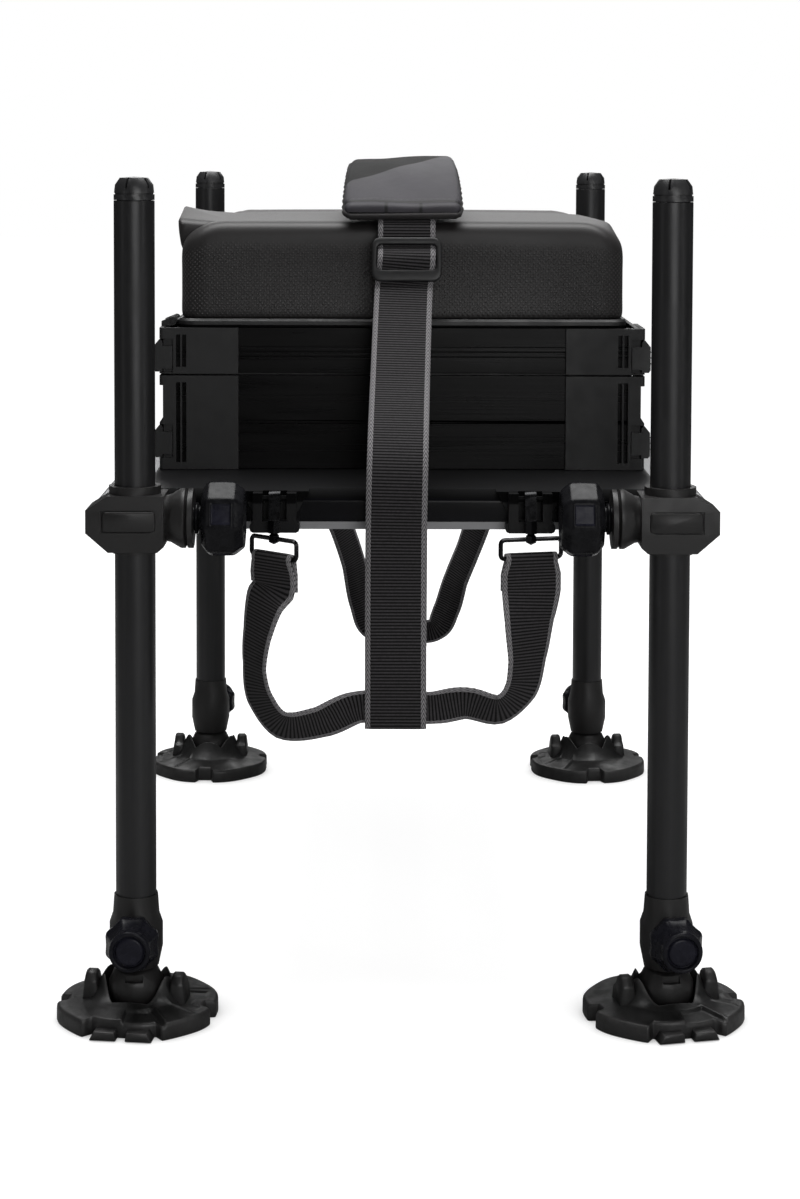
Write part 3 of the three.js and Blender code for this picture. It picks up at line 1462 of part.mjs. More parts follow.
const sideRailZ = sideRailTop - sideRailHeight / 2;
addPiece(seatBox, "rear_rail", sideRail().translate(-sideRailX, 0, sideRailZ), "bareRail");
addPiece(seatBox, "front_rail", mirroredX(sideRail()).translate(sideRailX, 0, sideRailZ), "bareRail");
addPiece(seatBox, "right_end_rail", endRail(), "blackPlastic");
addPiece(seatBox, "left_end_rail", mirroredY(endRail()), "blackPlastic");

addPiece(seatBox, "shoulder_pad", shoulderPad(), "padCloth");
addPiece(seatBox, "strap_buckle", strapBuckle(), "blackPlastic");
addPiece(seatBox, "carry_strap", carryStrap(), "webbing");
const turns = Object.fromEntries(corners.map((corner) => [corner.name, corner.eyeTurn]));
const nearBand = hookStrap(nearBandHeight, nearBandShares, turns.right_rear, turns.right_front);
const farBand = hookStrap(farBandHeight, farBandShares, turns.left_rear, turns.left_front);
addPiece(seatBox, "hook_strap_right", nearBand, "webbing");
addPiece(seatBox, "hook_strap_left", mirroredY(farBand), "webbing");

for (const corner of corners) {
  const hook = snapHook(corner.eyeTurn).translate(corner.x * bracketOffset, 0, 0);
  addPiece(seatBox, `${corner.name}_snap_hook`, corner.y < 0 ? hook : mirroredY(hook), "steel");
}

export default seatBox;
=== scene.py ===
"""Looks of a fishing seat box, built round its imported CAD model. Lengths are in metres."""
import json
import math

import bmesh
import bpy
import numpy as np
from mathutils import Matrix, Vector

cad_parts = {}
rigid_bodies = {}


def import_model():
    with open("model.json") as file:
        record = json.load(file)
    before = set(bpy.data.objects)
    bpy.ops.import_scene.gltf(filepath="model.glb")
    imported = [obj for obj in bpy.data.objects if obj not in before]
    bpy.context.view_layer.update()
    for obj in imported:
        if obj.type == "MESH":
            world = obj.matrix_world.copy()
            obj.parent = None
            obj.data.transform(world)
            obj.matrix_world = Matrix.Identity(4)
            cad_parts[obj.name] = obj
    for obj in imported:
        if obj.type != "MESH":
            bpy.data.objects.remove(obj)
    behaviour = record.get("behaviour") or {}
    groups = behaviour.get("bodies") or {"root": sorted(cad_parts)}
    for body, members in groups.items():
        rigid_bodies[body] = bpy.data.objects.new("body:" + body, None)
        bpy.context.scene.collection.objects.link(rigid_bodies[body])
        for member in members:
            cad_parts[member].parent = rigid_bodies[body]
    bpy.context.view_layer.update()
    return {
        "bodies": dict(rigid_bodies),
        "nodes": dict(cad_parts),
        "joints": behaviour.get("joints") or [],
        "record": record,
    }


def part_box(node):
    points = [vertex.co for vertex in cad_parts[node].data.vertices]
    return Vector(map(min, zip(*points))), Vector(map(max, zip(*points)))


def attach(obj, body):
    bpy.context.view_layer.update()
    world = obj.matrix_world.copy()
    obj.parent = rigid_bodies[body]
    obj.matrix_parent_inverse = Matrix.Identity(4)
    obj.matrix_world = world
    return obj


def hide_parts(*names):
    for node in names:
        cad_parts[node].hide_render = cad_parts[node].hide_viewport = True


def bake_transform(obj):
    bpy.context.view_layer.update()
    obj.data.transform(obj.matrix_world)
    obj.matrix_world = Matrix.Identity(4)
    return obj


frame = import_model()
nodes = frame["nodes"]
scene = bpy.context.scene

CORNERS = ("right_rear", "right_front", "left_rear", "left_front")
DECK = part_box("right_end_rail")[1][2]


# Materials

PAD_LENGTH = 0.350
HEM_INSET = 0.009
RAIL_FACE = 0.2725
RAIL_LIP = 0.0198
RAIL_BROW = 0.0052


def linear(color):
    """A colour written as three numbers from 0 to 255, as Blender's linear values with an alpha of 1."""
    return [(v / 255) ** 2.2 for v in color] + [1]


class Surface:
    """A Principled material and short ways to add nodes to it."""

    def __init__(self, name, color, rough, metal=0.0, **sockets):
        self.material = bpy.data.materials.new(name)
        self.material.use_nodes = True
        self.tree = self.material.node_tree
        self.shader = self.tree.nodes["Principled BSDF"]
        self.color = linear(color)
        self.shader.inputs["Base Color"].default_value = self.color
        self.shader.inputs["Roughness"].default_value = rough
        self.shader.inputs["Metallic"].default_value = metal
        for key, value in sockets.items():
            self.shader.inputs[key.replace("_", " ")].default_value = value
        self.normal = None

    def add(self, kind, settings=None, **inputs):
        node = self.tree.nodes.new("ShaderNode" + kind)
        for key, value in (settings or {}).items():
            setattr(node, key, value)
        for key, value in inputs.items():
            socket = node.inputs[int(key[1:])] if key[0] == "i" and key[1:].isdigit() else node.inputs[key]
            if isinstance(value, bpy.types.NodeSocket):
                self.tree.links.new(value, socket)
            else:
                socket.default_value = value
        return node

    def math(self, operation, a, b=0.0, c=0.0):
        return self.add("Math", {"operation": operation}, i0=a, i1=b, i2=c).outputs[0]

    def times(self, a, b):
        return self.math("MULTIPLY", a, b)

    def over(self, a, b):
        """1 where a is over b, otherwise 0."""
        return self.math("GREATER_THAN", a, b)

    def gap(self, a, b=0.0):
        """How far a is from b."""
        return self.math("ABSOLUTE", self.math("SUBTRACT", a, b))

    def ripple(self, value, pitch):
        """Rounded ribs from 0 to 1, a pitch apart."""
        return self.math("ABSOLUTE", self.math("SINE", self.times(value, math.pi / pitch)))

    def attribute(self, name):
        return self.add("Attribute", {"attribute_name": name}).outputs["Fac"]

    def split(self, vector):
        return self.add("SeparateXYZ", i0=vector).outputs

    def uv(self, name):
        return self.split(self.add("UVMap", {"uv_map": name}).outputs[0])

    def place(self, stretch=(1, 1, 1)):
        """Object coordinates, stretched along the axes."""
        source = self.add("TexCoord").outputs["Object"]
        return self.add("Mapping", i0=source, i3=stretch).outputs[0]

    def noise(self, scale, detail=2.0, stretch=(1, 1, 1), rough=0.5):
        node = self.add("TexNoise", Vector=self.place(stretch), Scale=scale, Detail=detail, Roughness=rough)
        return node.outputs["Fac"]

    def span(self, value, low=0.3, high=0.7, out_low=0.0, out_high=1.0):
        """The value's range from low to high, spread over another range and clamped to it."""
        return self.add("MapRange", i0=value, i1=low, i2=high, i3=out_low, i4=out_high).outputs[0]

    def mix(self, share, first, second):
        node = self.add("Mix", {"data_type": "RGBA"}, i0=share)
        for index, value in ((6, first), (7, second)):
            if isinstance(value, bpy.types.NodeSocket):
                self.tree.links.new(value, node.inputs[index])
            else:
                node.inputs[index].default_value = value
        return node.outputs[2]

    def shade(self, factor):
        return [min(1.0, c * factor) for c in self.color[:3]] + [1]

    def tint(self, share, low, high):
        """The base colour, times a factor that goes from low to high with share."""
        return self.mix(share, self.shade(low), self.shade(high))

    def bump(self, height, strength, distance):
        inputs = {"Strength": strength, "Distance": distance, "Height": height}
        if self.normal:
            inputs["Normal"] = self.normal
        self.normal = self.add("Bump", **inputs).outputs[0]
        self.to("Normal", self.normal)

    def to(self, socket, value):
        self.tree.links.new(value, self.shader.inputs[socket])


def plastic(name, color, rough, grain=0.25, patches=0.12):
    s = Surface(name, color, rough)
    broad = s.noise(38, 3)
    fine = s.noise(1500, 2)
    s.to("Base Color", s.tint(s.span(broad), 1 - patches, 1 + patches))
    s.to("Roughness", s.span(s.noise(90, 3), 0.3, 0.7, rough - 0.05, rough + 0.07))
    s.bump(fine, grain, 0.0002)
    s.bump(s.noise(160, 1), 0.08, 0.0006)
    return s.material


def tube_metal():
    s = Surface("tube_metal", (44, 44, 45), 0.4, 0.35)
    streaks = s.noise(240, 3, (1, 1, 0.03))
    scuffs = s.span(s.noise(55, 4, (1, 1, 0.25), 0.65), 0.62, 0.7)
    base = s.tint(s.span(streaks), 0.86, 1.14)
    s.to("Base Color", s.mix(s.times(scuffs, 0.4), base, s.shade(1.7)))
    s.to("Roughness", s.span(s.noise(30, 3), 0.3, 0.7, 0.32, 0.44))
    s.bump(streaks, 0.05, 0.0002)
    return s.material


def wall_metal():
    s = Surface("wall_metal", (9, 8, 9), 0.4, Specular_IOR_Level=0.14)
    streaks = s.noise(90, 3, (0.06, 0.06, 7))
    s.to("Base Color", s.tint(s.span(streaks, 0.35, 0.65), 0.7, 1.5))
    s.to("Roughness", s.span(s.noise(70, 3, (0.2, 0.2, 2)), 0.3, 0.7, 0.24, 0.38))
    s.bump(streaks, 0.12, 0.0004)
    return s.material


def bare_metal():
    s = Surface("bare_metal", (150, 151, 153), 0.36, 0.9)
    streaks = s.noise(400, 2, (1, 0.02, 1))
    s.to("Base Color", s.tint(streaks, 0.85, 1.1))
    s.to("Roughness", s.span(streaks, 0.3, 0.7, 0.26, 0.4))
    s.bump(streaks, 0.06, 0.0002)
    return s.material


def dark_steel():
    s = Surface("dark_steel", (24, 24, 26), 0.22, 0.7)
    s.to("Roughness", s.span(s.noise(300, 3), 0.3, 0.7, 0.2, 0.36))
    s.bump(s.noise(900, 1), 0.08, 0.0002)
    return s.material


def seat_vinyl():
    """Vinyl with raised dots in staggered rows where the mesh's emboss value is 1, painted lighter on the dots
    and darker between them as painted highlight and painted shade.
    """
    s = Surface("seat_vinyl", (36, 34, 34), 0.44, Sheen_Weight=0.03)
    pitch = 0.0034
    waves = [s.math("COSINE", s.times(spot, math.tau / pitch)) for spot in s.uv("skin")[:2]]
    dots = s.span(s.times(*waves), 0.1, 0.9)
    emboss = s.attribute("emboss")
    dots = s.times(dots, emboss)
    grain = s.add("TexVoronoi", {"feature": "DISTANCE_TO_EDGE"}, Vector=s.place(), Scale=900)
    base = s.tint(s.span(s.noise(14, 3)), 0.88, 1.12)
    # Painted highlight and shade: the embossed area is painted darker and the raised dots much lighter.
    s.to("Base Color", s.mix(dots, s.mix(emboss, base, s.shade(0.56)), s.shade(3.4)))
    s.to("Roughness", s.span(dots, 0, 1, 0.5, 0.38))
    s.bump(dots, 0.6, 0.0007)
    s.bump(s.span(grain.outputs["Distance"], 0, 0.15), 0.12, 0.0002)
    return s.material


def webbing_cloth():
    """Woven webbing: fine cross ribs, painted lighter on their crests and darker between them as painted
    highlight and shade, and a pale line along both edges.
    """
    s = Surface("webbing_cloth", (45, 44, 45), 0.9, Sheen_Weight=0.02, Specular_IOR_Level=0.15)
    across, along, _ = s.uv("weave")
    line_start, line_middle, rib_pitch, chain_pitch, warp_threads = 0.412, 0.456, 0.002, 0.003, 24
    side = s.gap(across, 0.5)
    line = s.over(side, line_start)
    ribs = s.span(s.ripple(along, rib_pitch), 0.3, 0.95)
    warp = s.ripple(across, 1 / warp_threads)
    slant = s.times(s.gap(side, line_middle), 0.09)
    chain = s.ripple(s.math("ADD", along, slant), chain_pitch)
    fuzz = s.noise(700, 2)
    # Painted highlight and shade: the body colour runs from dark in the rib hollows to light on the rib crests.
    body = s.tint(s.times(ribs, s.span(fuzz, 0.3, 0.7, 0.75, 1)), 0.12, 2.7)
    pale = s.mix(s.span(chain, 0.2, 0.8), linear((52, 51, 53)), linear((142, 140, 142)))
    s.to("Base Color", s.mix(line, body, pale))
    s.bump(s.math("MAXIMUM", ribs, s.times(warp, 0.5)), 0.5, 0.0004)
    s.bump(fuzz, 0.15, 0.0003)
    return s.material


def pad_cloth():
    """Smooth pad cloth with a rougher panel beyond a slanted seam, and a hem with stitches at each end; the sunk
    seam and hem grooves are painted dark as painted shade.
    """
    s = Surface("pad_cloth", (50, 48, 53), 0.6, Sheen_Weight=0.03, Specular_IOR_Level=0.3)
    x, y, _ = s.uv("flat")
    upper = s.attribute("upper")
    stitch_inset, stitch_pitch = 0.0022, 0.004
    curve = s.math("ADD", s.times(s.math("ADD", x, 0.0395), 1.57), s.times(s.times(x, x), 9.0))
    seam = s.math("SUBTRACT", curve, s.math("ADD", y, 0.142))
    hem = s.math("SUBTRACT", PAD_LENGTH / 2 - HEM_INSET, s.gap(y))
    ticks = s.math("MINIMUM", s.gap(x, 0.012), s.gap(x, -0.011))
    ticks = s.math("MAXIMUM", ticks, s.over(hem, 0))
    lines = s.math("MINIMUM", s.math("MINIMUM", s.gap(seam), s.gap(hem)), ticks)
    groove_and_shade = s.times(s.span(lines, 0.0005, 0.0017, 1, 0), upper)
    dash = s.over(s.math("SINE", s.times(x, math.tau / stitch_pitch)), -0.3)
    stitch = s.times(s.math("COMPARE", hem, stitch_inset, 0.0004), dash)
    panel = s.math("MAXIMUM", s.math("LESS_THAN", seam, 0), s.math("SUBTRACT", 1.0, upper))
    knit = s.add("TexVoronoi", Vector=s.place(), Scale=1400)
    cloud = s.noise(60, 3, (1, 0.35, 1))
    smooth = s.tint(s.span(cloud), 0.86, 1.12)
    rough = s.mix(cloud, linear((20, 20, 20)), linear((31, 31, 31)))
    # Painted shade: the sunk seam and hem grooves are painted near black.
    shade = s.mix(groove_and_shade, s.mix(panel, smooth, rough), linear((14, 13, 15)))
    s.to("Base Color", s.mix(s.times(stitch, 0.6), shade, linear((24, 23, 25))))
    s.to("Roughness", s.span(panel, 0, 1, 0.6, 0.88))
    s.bump(knit.outputs["Distance"], 0.2, 0.0003)
    s.bump(cloud, 0.25, 0.003)
    s.bump(groove_and_shade, -0.8, 0.0012)
    return s.material


def binding_cloth():
    s = Surface("binding_cloth", (24, 21, 22), 0.75, Sheen_Weight=0.04)
    twill = s.noise(900)
    s.to("Base Color", s.tint(twill, 0.5, 1.9))
    s.bump(twill, 0.5, 0.0006)
    return s.material


def knob_look():
    """Glossy black plastic with a blue-grey cast in the windows of the knobs."""
    s = Surface("knob_gloss", (29, 29, 31), 0.3, Specular_IOR_Level=0.12)
    window = s.attribute("window")
    cloud = s.noise(120, 2)
    body = s.tint(s.span(cloud), 0.7, 1.3)
    pane = s.mix(cloud, linear((24, 24, 31)), linear((46, 46, 56)))
    s.to("Base Color", s.mix(window, body, pane))
    s.to("Roughness", s.span(s.noise(240, 2), 0.3, 0.7, 0.2, 0.34))
    s.bump(s.noise(500, 1), 0.05, 0.0003)
    return s.material


def plate_look():
    """Moulded black rubbery plastic, paler and scuffed along the rim."""
    s = Surface("plate_plastic", (27, 27, 27), 0.5)
    wear = s.attribute("wear")
    scuff = s.span(s.noise(70, 4, rough=0.65), 0.35, 0.65, 0.35)
    base = s.tint(s.span(s.noise(45, 3)), 0.7, 1.3)
    pale = linear((66, 65, 65))
    s.to("Base Color", s.mix(s.times(wear, scuff), base, pale))
    s.to("Roughness", s.span(s.noise(110, 3), 0.3, 0.7, 0.34, 0.58))
    s.bump(s.noise(900, 2), 0.25, 0.0003)
    s.bump(s.noise(120, 2), 0.12, 0.0008)
    return s.material


def end_rail_look():
    """Black plastic, with a glossy blue-black strip along the outer face, a pale metal lip under it, and painted
    shade on the rounded top of the outer edge.
    """
    s = Surface("rail_plastic", (24, 24, 25), 0.42, Specular_IOR_Level=0.17)
    _, y, z = s.split(s.place())
    facing = s.gap(s.split(s.add("NewGeometry").outputs["Normal"])[1])
    reach = s.gap(y)
    outer = s.times(s.over(facing, 0.8), s.math("COMPARE", reach, RAIL_FACE, 0.0015))
    strip = s.times(outer, s.math("LESS_THAN", z, DECK - RAIL_BROW))
    lip = s.times(outer, s.math("LESS_THAN", z, DECK - RAIL_LIP))
    # Painted shade: the rounded top of the outer edge is painted near black.
    brow_shade = s.times(s.over(reach, RAIL_FACE - 0.012), s.over(facing, 0.12))
    brow_shade = s.times(brow_shade, s.over(z, DECK - RAIL_BROW - 0.0015))
    base = s.mix(brow_shade, s.tint(s.span(s.noise(38, 3)), 0.85, 1.15), linear((5, 5, 7)))
    worn = s.mix(s.span(s.noise(24, 3, (1, 1, 6)), 0.35, 0.65), linear((3, 3, 8)), linear((8, 8, 15)))
    s.to("Base Color", s.mix(lip, s.mix(strip, base, worn), linear((150, 150, 152))))
    polish = s.span(strip, 0, 1, 0.42, 0.24)
    s.to("Roughness", s.math("MAXIMUM", polish, s.times(brow_shade, 0.95)))
    s.bump(s.noise(1500, 2), 0.2, 0.0002)
    return s.material


tube = tube_metal()
end_rail = end_rail_look()
casting = plastic("cast_plastic", (30, 29, 29), 0.46)
black = plastic("black_plastic", (24, 24, 25), 0.44)
cap_black = plastic("cap_plastic", (46, 46, 47), 0.34)
gloss = plastic("gloss_plastic", (18, 18, 20), 0.22, 0.05)
moulding = plastic("unit_plastic", (23, 23, 24), 0.52)
wall = wall_metal()
bare = bare_metal()
steel = dark_steel()
vinyl = seat_vinyl()
webbing = webbing_cloth()
pad_look = pad_cloth()
binding = binding_cloth()
knob_gloss = knob_look()
plate_plastic = plate_look()

LOOKS = {
    "leg_tube": tube, "leg_cap": cap_black, "leg_clamp": casting, "clamp_knob": gloss, "foot_collar": casting,
    "foot_knob": gloss, "foot_ball": casting, "foot_plate": casting, "lower_latch": black,
    "upper_latch": black, "snap_hook": steel,
}


# CAD nodes: their own shapes, with softened edges

SOFT_EDGE, CLAMP_EDGE, SHEET_EDGE = 0.0004, 0.001, 0.0002


def dress(name, material, edge=SOFT_EDGE):
    node = nodes[name]
    node.data.materials.clear()
    node.data.materials.append(material)
    custom = node.data.attributes.get("custom_normal")
    if custom:
        node.data.attributes.remove(custom)
    for polygon in node.data.polygons:
        polygon.use_smooth = True
    weld = node.modifiers.new("weld", "WELD")
    weld.merge_threshold = 1e-5
    bevel = node.modifiers.new("edge", "BEVEL")
    bevel.width = edge
    bevel.segments = 2
    bevel.limit_method = "ANGLE"
    bevel.angle_limit = math.radians(32)
    node.modifiers.new("shade", "WEIGHTED_NORMAL")


for corner in CORNERS:
    for kind, look in LOOKS.items():
        dress(f"{corner}_{kind}", look, CLAMP_EDGE if kind == "leg_clamp" else SOFT_EDGE)
for look, names in (
    (bare, ("rear_rail", "front_rail")), (end_rail, ("right_end_rail", "left_end_rail")),
    (black, ("seat_board", "strap_buckle")), (moulding, ("lower_unit_moulding", "upper_unit_moulding")),
):
    for name in names:
        dress(name, look)
for name in ("lower_unit_walls", "upper_unit_walls", "front_drawer"):
    dress(name, wall, SHEET_EDGE)


# Mesh helpers

def mesh_object(name, points, faces, material, uv=None, values=None):
    """A smooth-shaded object. uv holds a pair for each vertex, and values a number for each vertex."""
    mesh = bpy.data.meshes.new(name)
    mesh.from_pydata([tuple(p) for p in points], [], faces)
    mesh.materials.append(material)
    for polygon in mesh.polygons:
        polygon.use_smooth = True
    for key, pairs in (uv or {}).items():
        layer = mesh.uv_layers.new(name=key)
        for loop in mesh.loops:
            layer.data[loop.index].uv = pairs[loop.vertex_index]
    for key, numbers in (values or {}).items():
        attribute = mesh.attributes.new(key, "FLOAT", "POINT")
        attribute.data.foreach_set("value", np.asarray(numbers, np.float32))
    mesh.validate()
    work = bmesh.new()
    work.from_mesh(mesh)
    bmesh.ops.recalc_face_normals(work, faces=work.faces)
    work.to_mesh(mesh)
    work.free()
    obj = bpy.data.objects.new(name, mesh)
    scene.collection.objects.link(obj)
    return obj


def ring_faces(rings, count, first=0, closed=False):
    """Faces of a skin through rings of count points each, capped at both ends or closed to a loop."""
    faces = []
    for i in range(rings if closed else rings - 1):
        a, b = first + i * count, first + (i + 1) % rings * count
        for j in range(count):
            k = (j + 1) % count
            faces.append((a + j, a + k, b + k, b + j))
    if not closed:
        faces.append(tuple(first + j for j in reversed(range(count))))
        faces.append(tuple(first + (rings - 1) * count + j for j in range(count)))
    return faces


def smooth_path(points, step):
    """Points on a centripetal spline through the given ones, about step apart, and their shares along it."""
    points = np.asarray(points, float)
    ends = [2 * points[0] - points[1], *points, 2 * points[-1] - points[-2]]
    out, shares = [], []
    for i in range(len(points) - 1):
        p0, p1, p2, p3 = ends[i:i + 4]
        t = [0.0]
        for a, b in ((p0, p1), (p1, p2), (p2, p3)):
            t.append(t[-1] + max(np.linalg.norm(b - a), 1e-9) ** 0.5)
        count = max(1, int(round(np.linalg.norm(p2 - p1) / step)))
        for k in range(count):
            u = t[1] + (t[2] - t[1]) * k / count

            def at(a, b, p, q):
                return (t[b] - u) / (t[b] - t[a]) * p + (u - t[a]) / (t[b] - t[a]) * q

            a1, a2, a3 = at(0, 1, p0, p1), at(1, 2, p1, p2), at(2, 3, p2, p3)
            out.append(at(1, 2, at(0, 2, a1, a2), at(1, 3, a2, a3)))
            shares.append(i + k / count)
    out.append(points[-1])
    shares.append(len(points) - 1)
    return np.array(out), np.array(shares)


def unit(v):
    return v / max(np.linalg.norm(v), 1e-12)


def rounded_outline(half_x, half_y, radius, count):
    """Evenly spaced points round a rounded rectangle, from the middle of its near side."""
    arc = math.pi / 2 * radius
    straights = [2 * (half - radius) for half in (half_x, half_y)] * 2
    total = sum(straights) + 4 * arc
    points = []
    for i in range(count):
        s, k = i / count * total + straights[0] / 2, 0
        while s >= straights[k] + arc:
            s -= straights[k] + arc
            k = (k + 1) % 4
        straight, turn = straights[k], k * math.pi / 2
        ahead, out = np.array([math.cos(turn), math.sin(turn)]), np.array([math.sin(turn), -math.cos(turn)])
        corner = turn - math.pi / 2 + max(0.0, s - straight) / radius
        centre = ahead * (min(s, straight) - straight / 2) + out * ((half_y, half_x)[k % 2] - radius)
        points.append(centre + radius * np.array([math.cos(corner), math.sin(corner)]))
    return np.array(points)


def put(piece, body, node=None):
    """The piece moves with body, and may stand for a CAD node, which is then hidden."""
    if node:
        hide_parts(node)
    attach(piece, body)


def ribbon(name, stations, fold=0.0):
    """Webbing along stations of (place, across, width, thickness, folded). A folded stretch is rippled
    across its width, as webbing is where it is gathered."""
    columns = 12
    path, shares = smooth_path([s[0] for s in stations], 0.003)
    points, uv = [], []
    along = np.concatenate([[0], np.cumsum(np.linalg.norm(np.diff(path, axis=0), axis=1))])
    for i, (place, share) in enumerate(zip(path, shares)):
        before = min(int(share), len(stations) - 2)
        t = share - before
        tangent = unit(path[min(i + 1, len(path) - 1)] - path[max(i - 1, 0)])
        a, b = stations[before], stations[before + 1]
        across = (1 - t) * np.array(a[1], float) + t * np.array(b[1], float)
        across = unit(across - tangent * across.dot(tangent))
        out = unit(np.cross(across, tangent))
        width, thick, folded = ((1 - t) * a[k] + t * b[k] for k in (2, 3, 4))
        ripple = folded * fold
        for side in (1, -1):
            for c in range(columns):
                w = (c + 0.5) / columns * 2 - 1 if side > 0 else 1 - (c + 0.5) / columns * 2
                edge = min(1.0, (1 - abs(w)) * columns / 1.6)
                lift = side * thick / 2 * (0.35 + 0.65 * edge) + ripple * math.sin(2.2 * math.pi * w)
                wide = w * width / 2 * columns / (columns - 1)
                points.append(place + across * wide + out * lift)
                uv.append((0.5 + 0.5 * w * columns / (columns - 1), along[i]))
    return mesh_object(name, points, ring_faces(len(path), 2 * columns), webbing, {"weave": uv})


# Knobs and foot plates: fuller forms of the CAD nodes. Their places are repeated from the CAD source.

LEG_X, LEG_Y = 0.164, 0.3035
FOOT_TURN = {"right_rear": 0, "right_front": 8, "left_rear": 172, "left_front": -172}
PLATE_TURN = {"right_rear": -7, "right_front": 5, "left_rear": 6, "left_front": -4}
CLAMP_HEIGHT = (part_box("right_rear_clamp_knob")[0][2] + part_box("right_rear_clamp_knob")[1][2]) / 2
FOOT_KNOB_HEIGHT = (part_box("right_rear_foot_knob")[0][2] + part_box("right_rear_foot_knob")[1][2]) / 2
KNOB_SIDES = 8
KNOB_TILT = math.radians(143)
BLOCK_RINGS = 4


def smooth(low, high, value):
    t = min(1.0, max(0.0, (value - low) / (high - low)))
    return t * t * (3 - 2 * t)


def flat_share(angle, sides):
    """How far a flat-sided outline of radius 1 at its corners reaches at an angle."""
    step = math.tau / sides
    return math.cos(step / 2) / math.cos((angle % step) - step / 2)


def signs(name):
    return -1 if "rear" in name else 1, -1 if "right" in name else 1


def at_corner(name, points, faces, material, height=0.0, turn=0.0, **values):
    """An object at the leg that its name says, from points in millimetres, turned about Z in degrees."""
    side, end = signs(name)
    c, s = math.cos(math.radians(turn)), math.sin(math.radians(turn))
    spots = [(side * LEG_X + (c * x - s * y) / 1000, end * LEG_Y + (s * x + c * y) / 1000, height + z / 1000)
             for x, y, z in points]
    return mesh_object(name, spots, faces, material, None, values)


def clamp_knob(name):
    """An eight-sided barrel with a sunk glossy window in every other side, on a ringed neck."""
    profile = [(12.9, 3.2, 0), (22.0, 3.2, 0), (22.1, 7.6, 0), (30.0, 7.6, 0), (30.2, 9.4, 0), (32.2, 9.4, 0),
               (32.4, 7.8, 0), (33.4, 7.8, 0), (33.6, 9.4, 0), (35.6, 9.4, 0), (35.8, 7.8, 0), (36.8, 7.8, 0),
               (37.0, 9.6, 0), (38.8, 9.6, 0), (39.0, 8.0, 0), (40.9, 8.0, 0), (41.0, 12.0, 0.5)]
    profile += [(41.2, 17.8, 1), (41.8, 18.9, 1), (44.2, 22.3, 1), (45.2, 23.2, 1), (46.4, 23.5, 1)]
    profile += [(47 + 0.45 * k, 23.6 + 0.2 * math.sin(k / 30 * math.pi), 1) for k in range(31)]
    profile += [(61.4, 23.4, 1), (62.4, 22.8, 1), (66.2, 19.6, 1), (67.1, 18.6, 1), (67.4, 17.2, 1),
                (67.4, 13.4, 0.6), (67.0, 12.6, 0), (65.2, 12.0, 0), (64.8, 11.4, 0), (64.8, 6, 0),
                (64.8, 0.6, 0)]
    count = 192
    points, window = [], []
    inward = -signs(name)[0]
    for along, radius, square in profile:
        pane_length = smooth(47.6, 48.2, along) * smooth(60.0, 59.4, along)
        lip_length = smooth(46.4, 47.0, along) * smooth(61.0, 60.4, along)
        for i in range(count):
            angle = i / count * math.tau
            side, bend = divmod(angle / math.tau * KNOB_SIDES, 1)
            corner = min(bend, 1 - bend)
            flat = flat_share(angle, KNOB_SIDES) - 0.018 * math.exp(-(corner / 0.045) ** 2)
            reach = radius * (1 + square * (flat - 1))
            pane = 0.0
            if side % 2 == 0 and square:
                pane = smooth(0.14, 0.17, corner) * pane_length
                lip = smooth(0.09, 0.12, corner) * lip_length
                reach += 0.35 * lip * (1 - pane) - 0.8 * pane
            angle += KNOB_TILT
            points.append((inward * along, reach * math.cos(angle), reach * math.sin(angle)))
            window.append(pane)
    faces = [face[::inward] for face in ring_faces(len(profile), count)]
    return at_corner(name, points, faces, knob_gloss, CLAMP_HEIGHT, window=window)


def foot_knob(name, turn):
    """A cone with eight sides and a ring round a sunk disc."""
    profile = [(12.9, 3, 0), (17.3, 3, 0), (17.4, 12, 0.4), (17.5, 15.6, 1), (18.2, 16.4, 1), (19.8, 17.0, 1),
               (23.6, 17.5, 1), (25.4, 17.4, 1), (26.4, 17.0, 1), (27.2, 16.4, 1), (31.0, 14.9, 0.9),
               (35.4, 13.2, 0.6), (36.4, 12.8, 0.4), (37.0, 12.7, 0.1), (39.6, 12.5, 0), (40.5, 12.1, 0),
               (40.9, 11.5, 0), (40.9, 10.4, 0), (40.5, 9.9, 0), (39.0, 9.6, 0), (38.0, 9.4, 0), (38.0, 8.6, 0),
               (39.2, 8.4, 0), (39.7, 7.9, 0), (39.8, 6.4, 0), (39.6, 3.5, 0), (39.5, 0.4, 0)]
    count = 160
    points, window = [], []
    for along, radius, square in profile:
        window += [0.8 if along > 37.5 and radius < 9.5 else 0.3] * count
        for i in range(count):
            angle = i / count * math.tau
            bend = angle / math.tau * KNOB_SIDES % 1
            flat = flat_share(angle, KNOB_SIDES) - 0.02 * math.exp(-(min(bend, 1 - bend) / 0.05) ** 2)
            scoop = 0.05 * math.exp(-((along - 21.5) / 3.6) ** 2) * math.sin(bend * math.pi) ** 2
            reach = radius * (1 + square * (flat - 1 - scoop))
            angle += math.pi / KNOB_SIDES
            points.append((reach * math.cos(angle), -along, reach * math.sin(angle)))
    faces = ring_faces(len(profile), count)
    return at_corner(name, points, faces, knob_gloss, FOOT_KNOB_HEIGHT, turn, window=window)


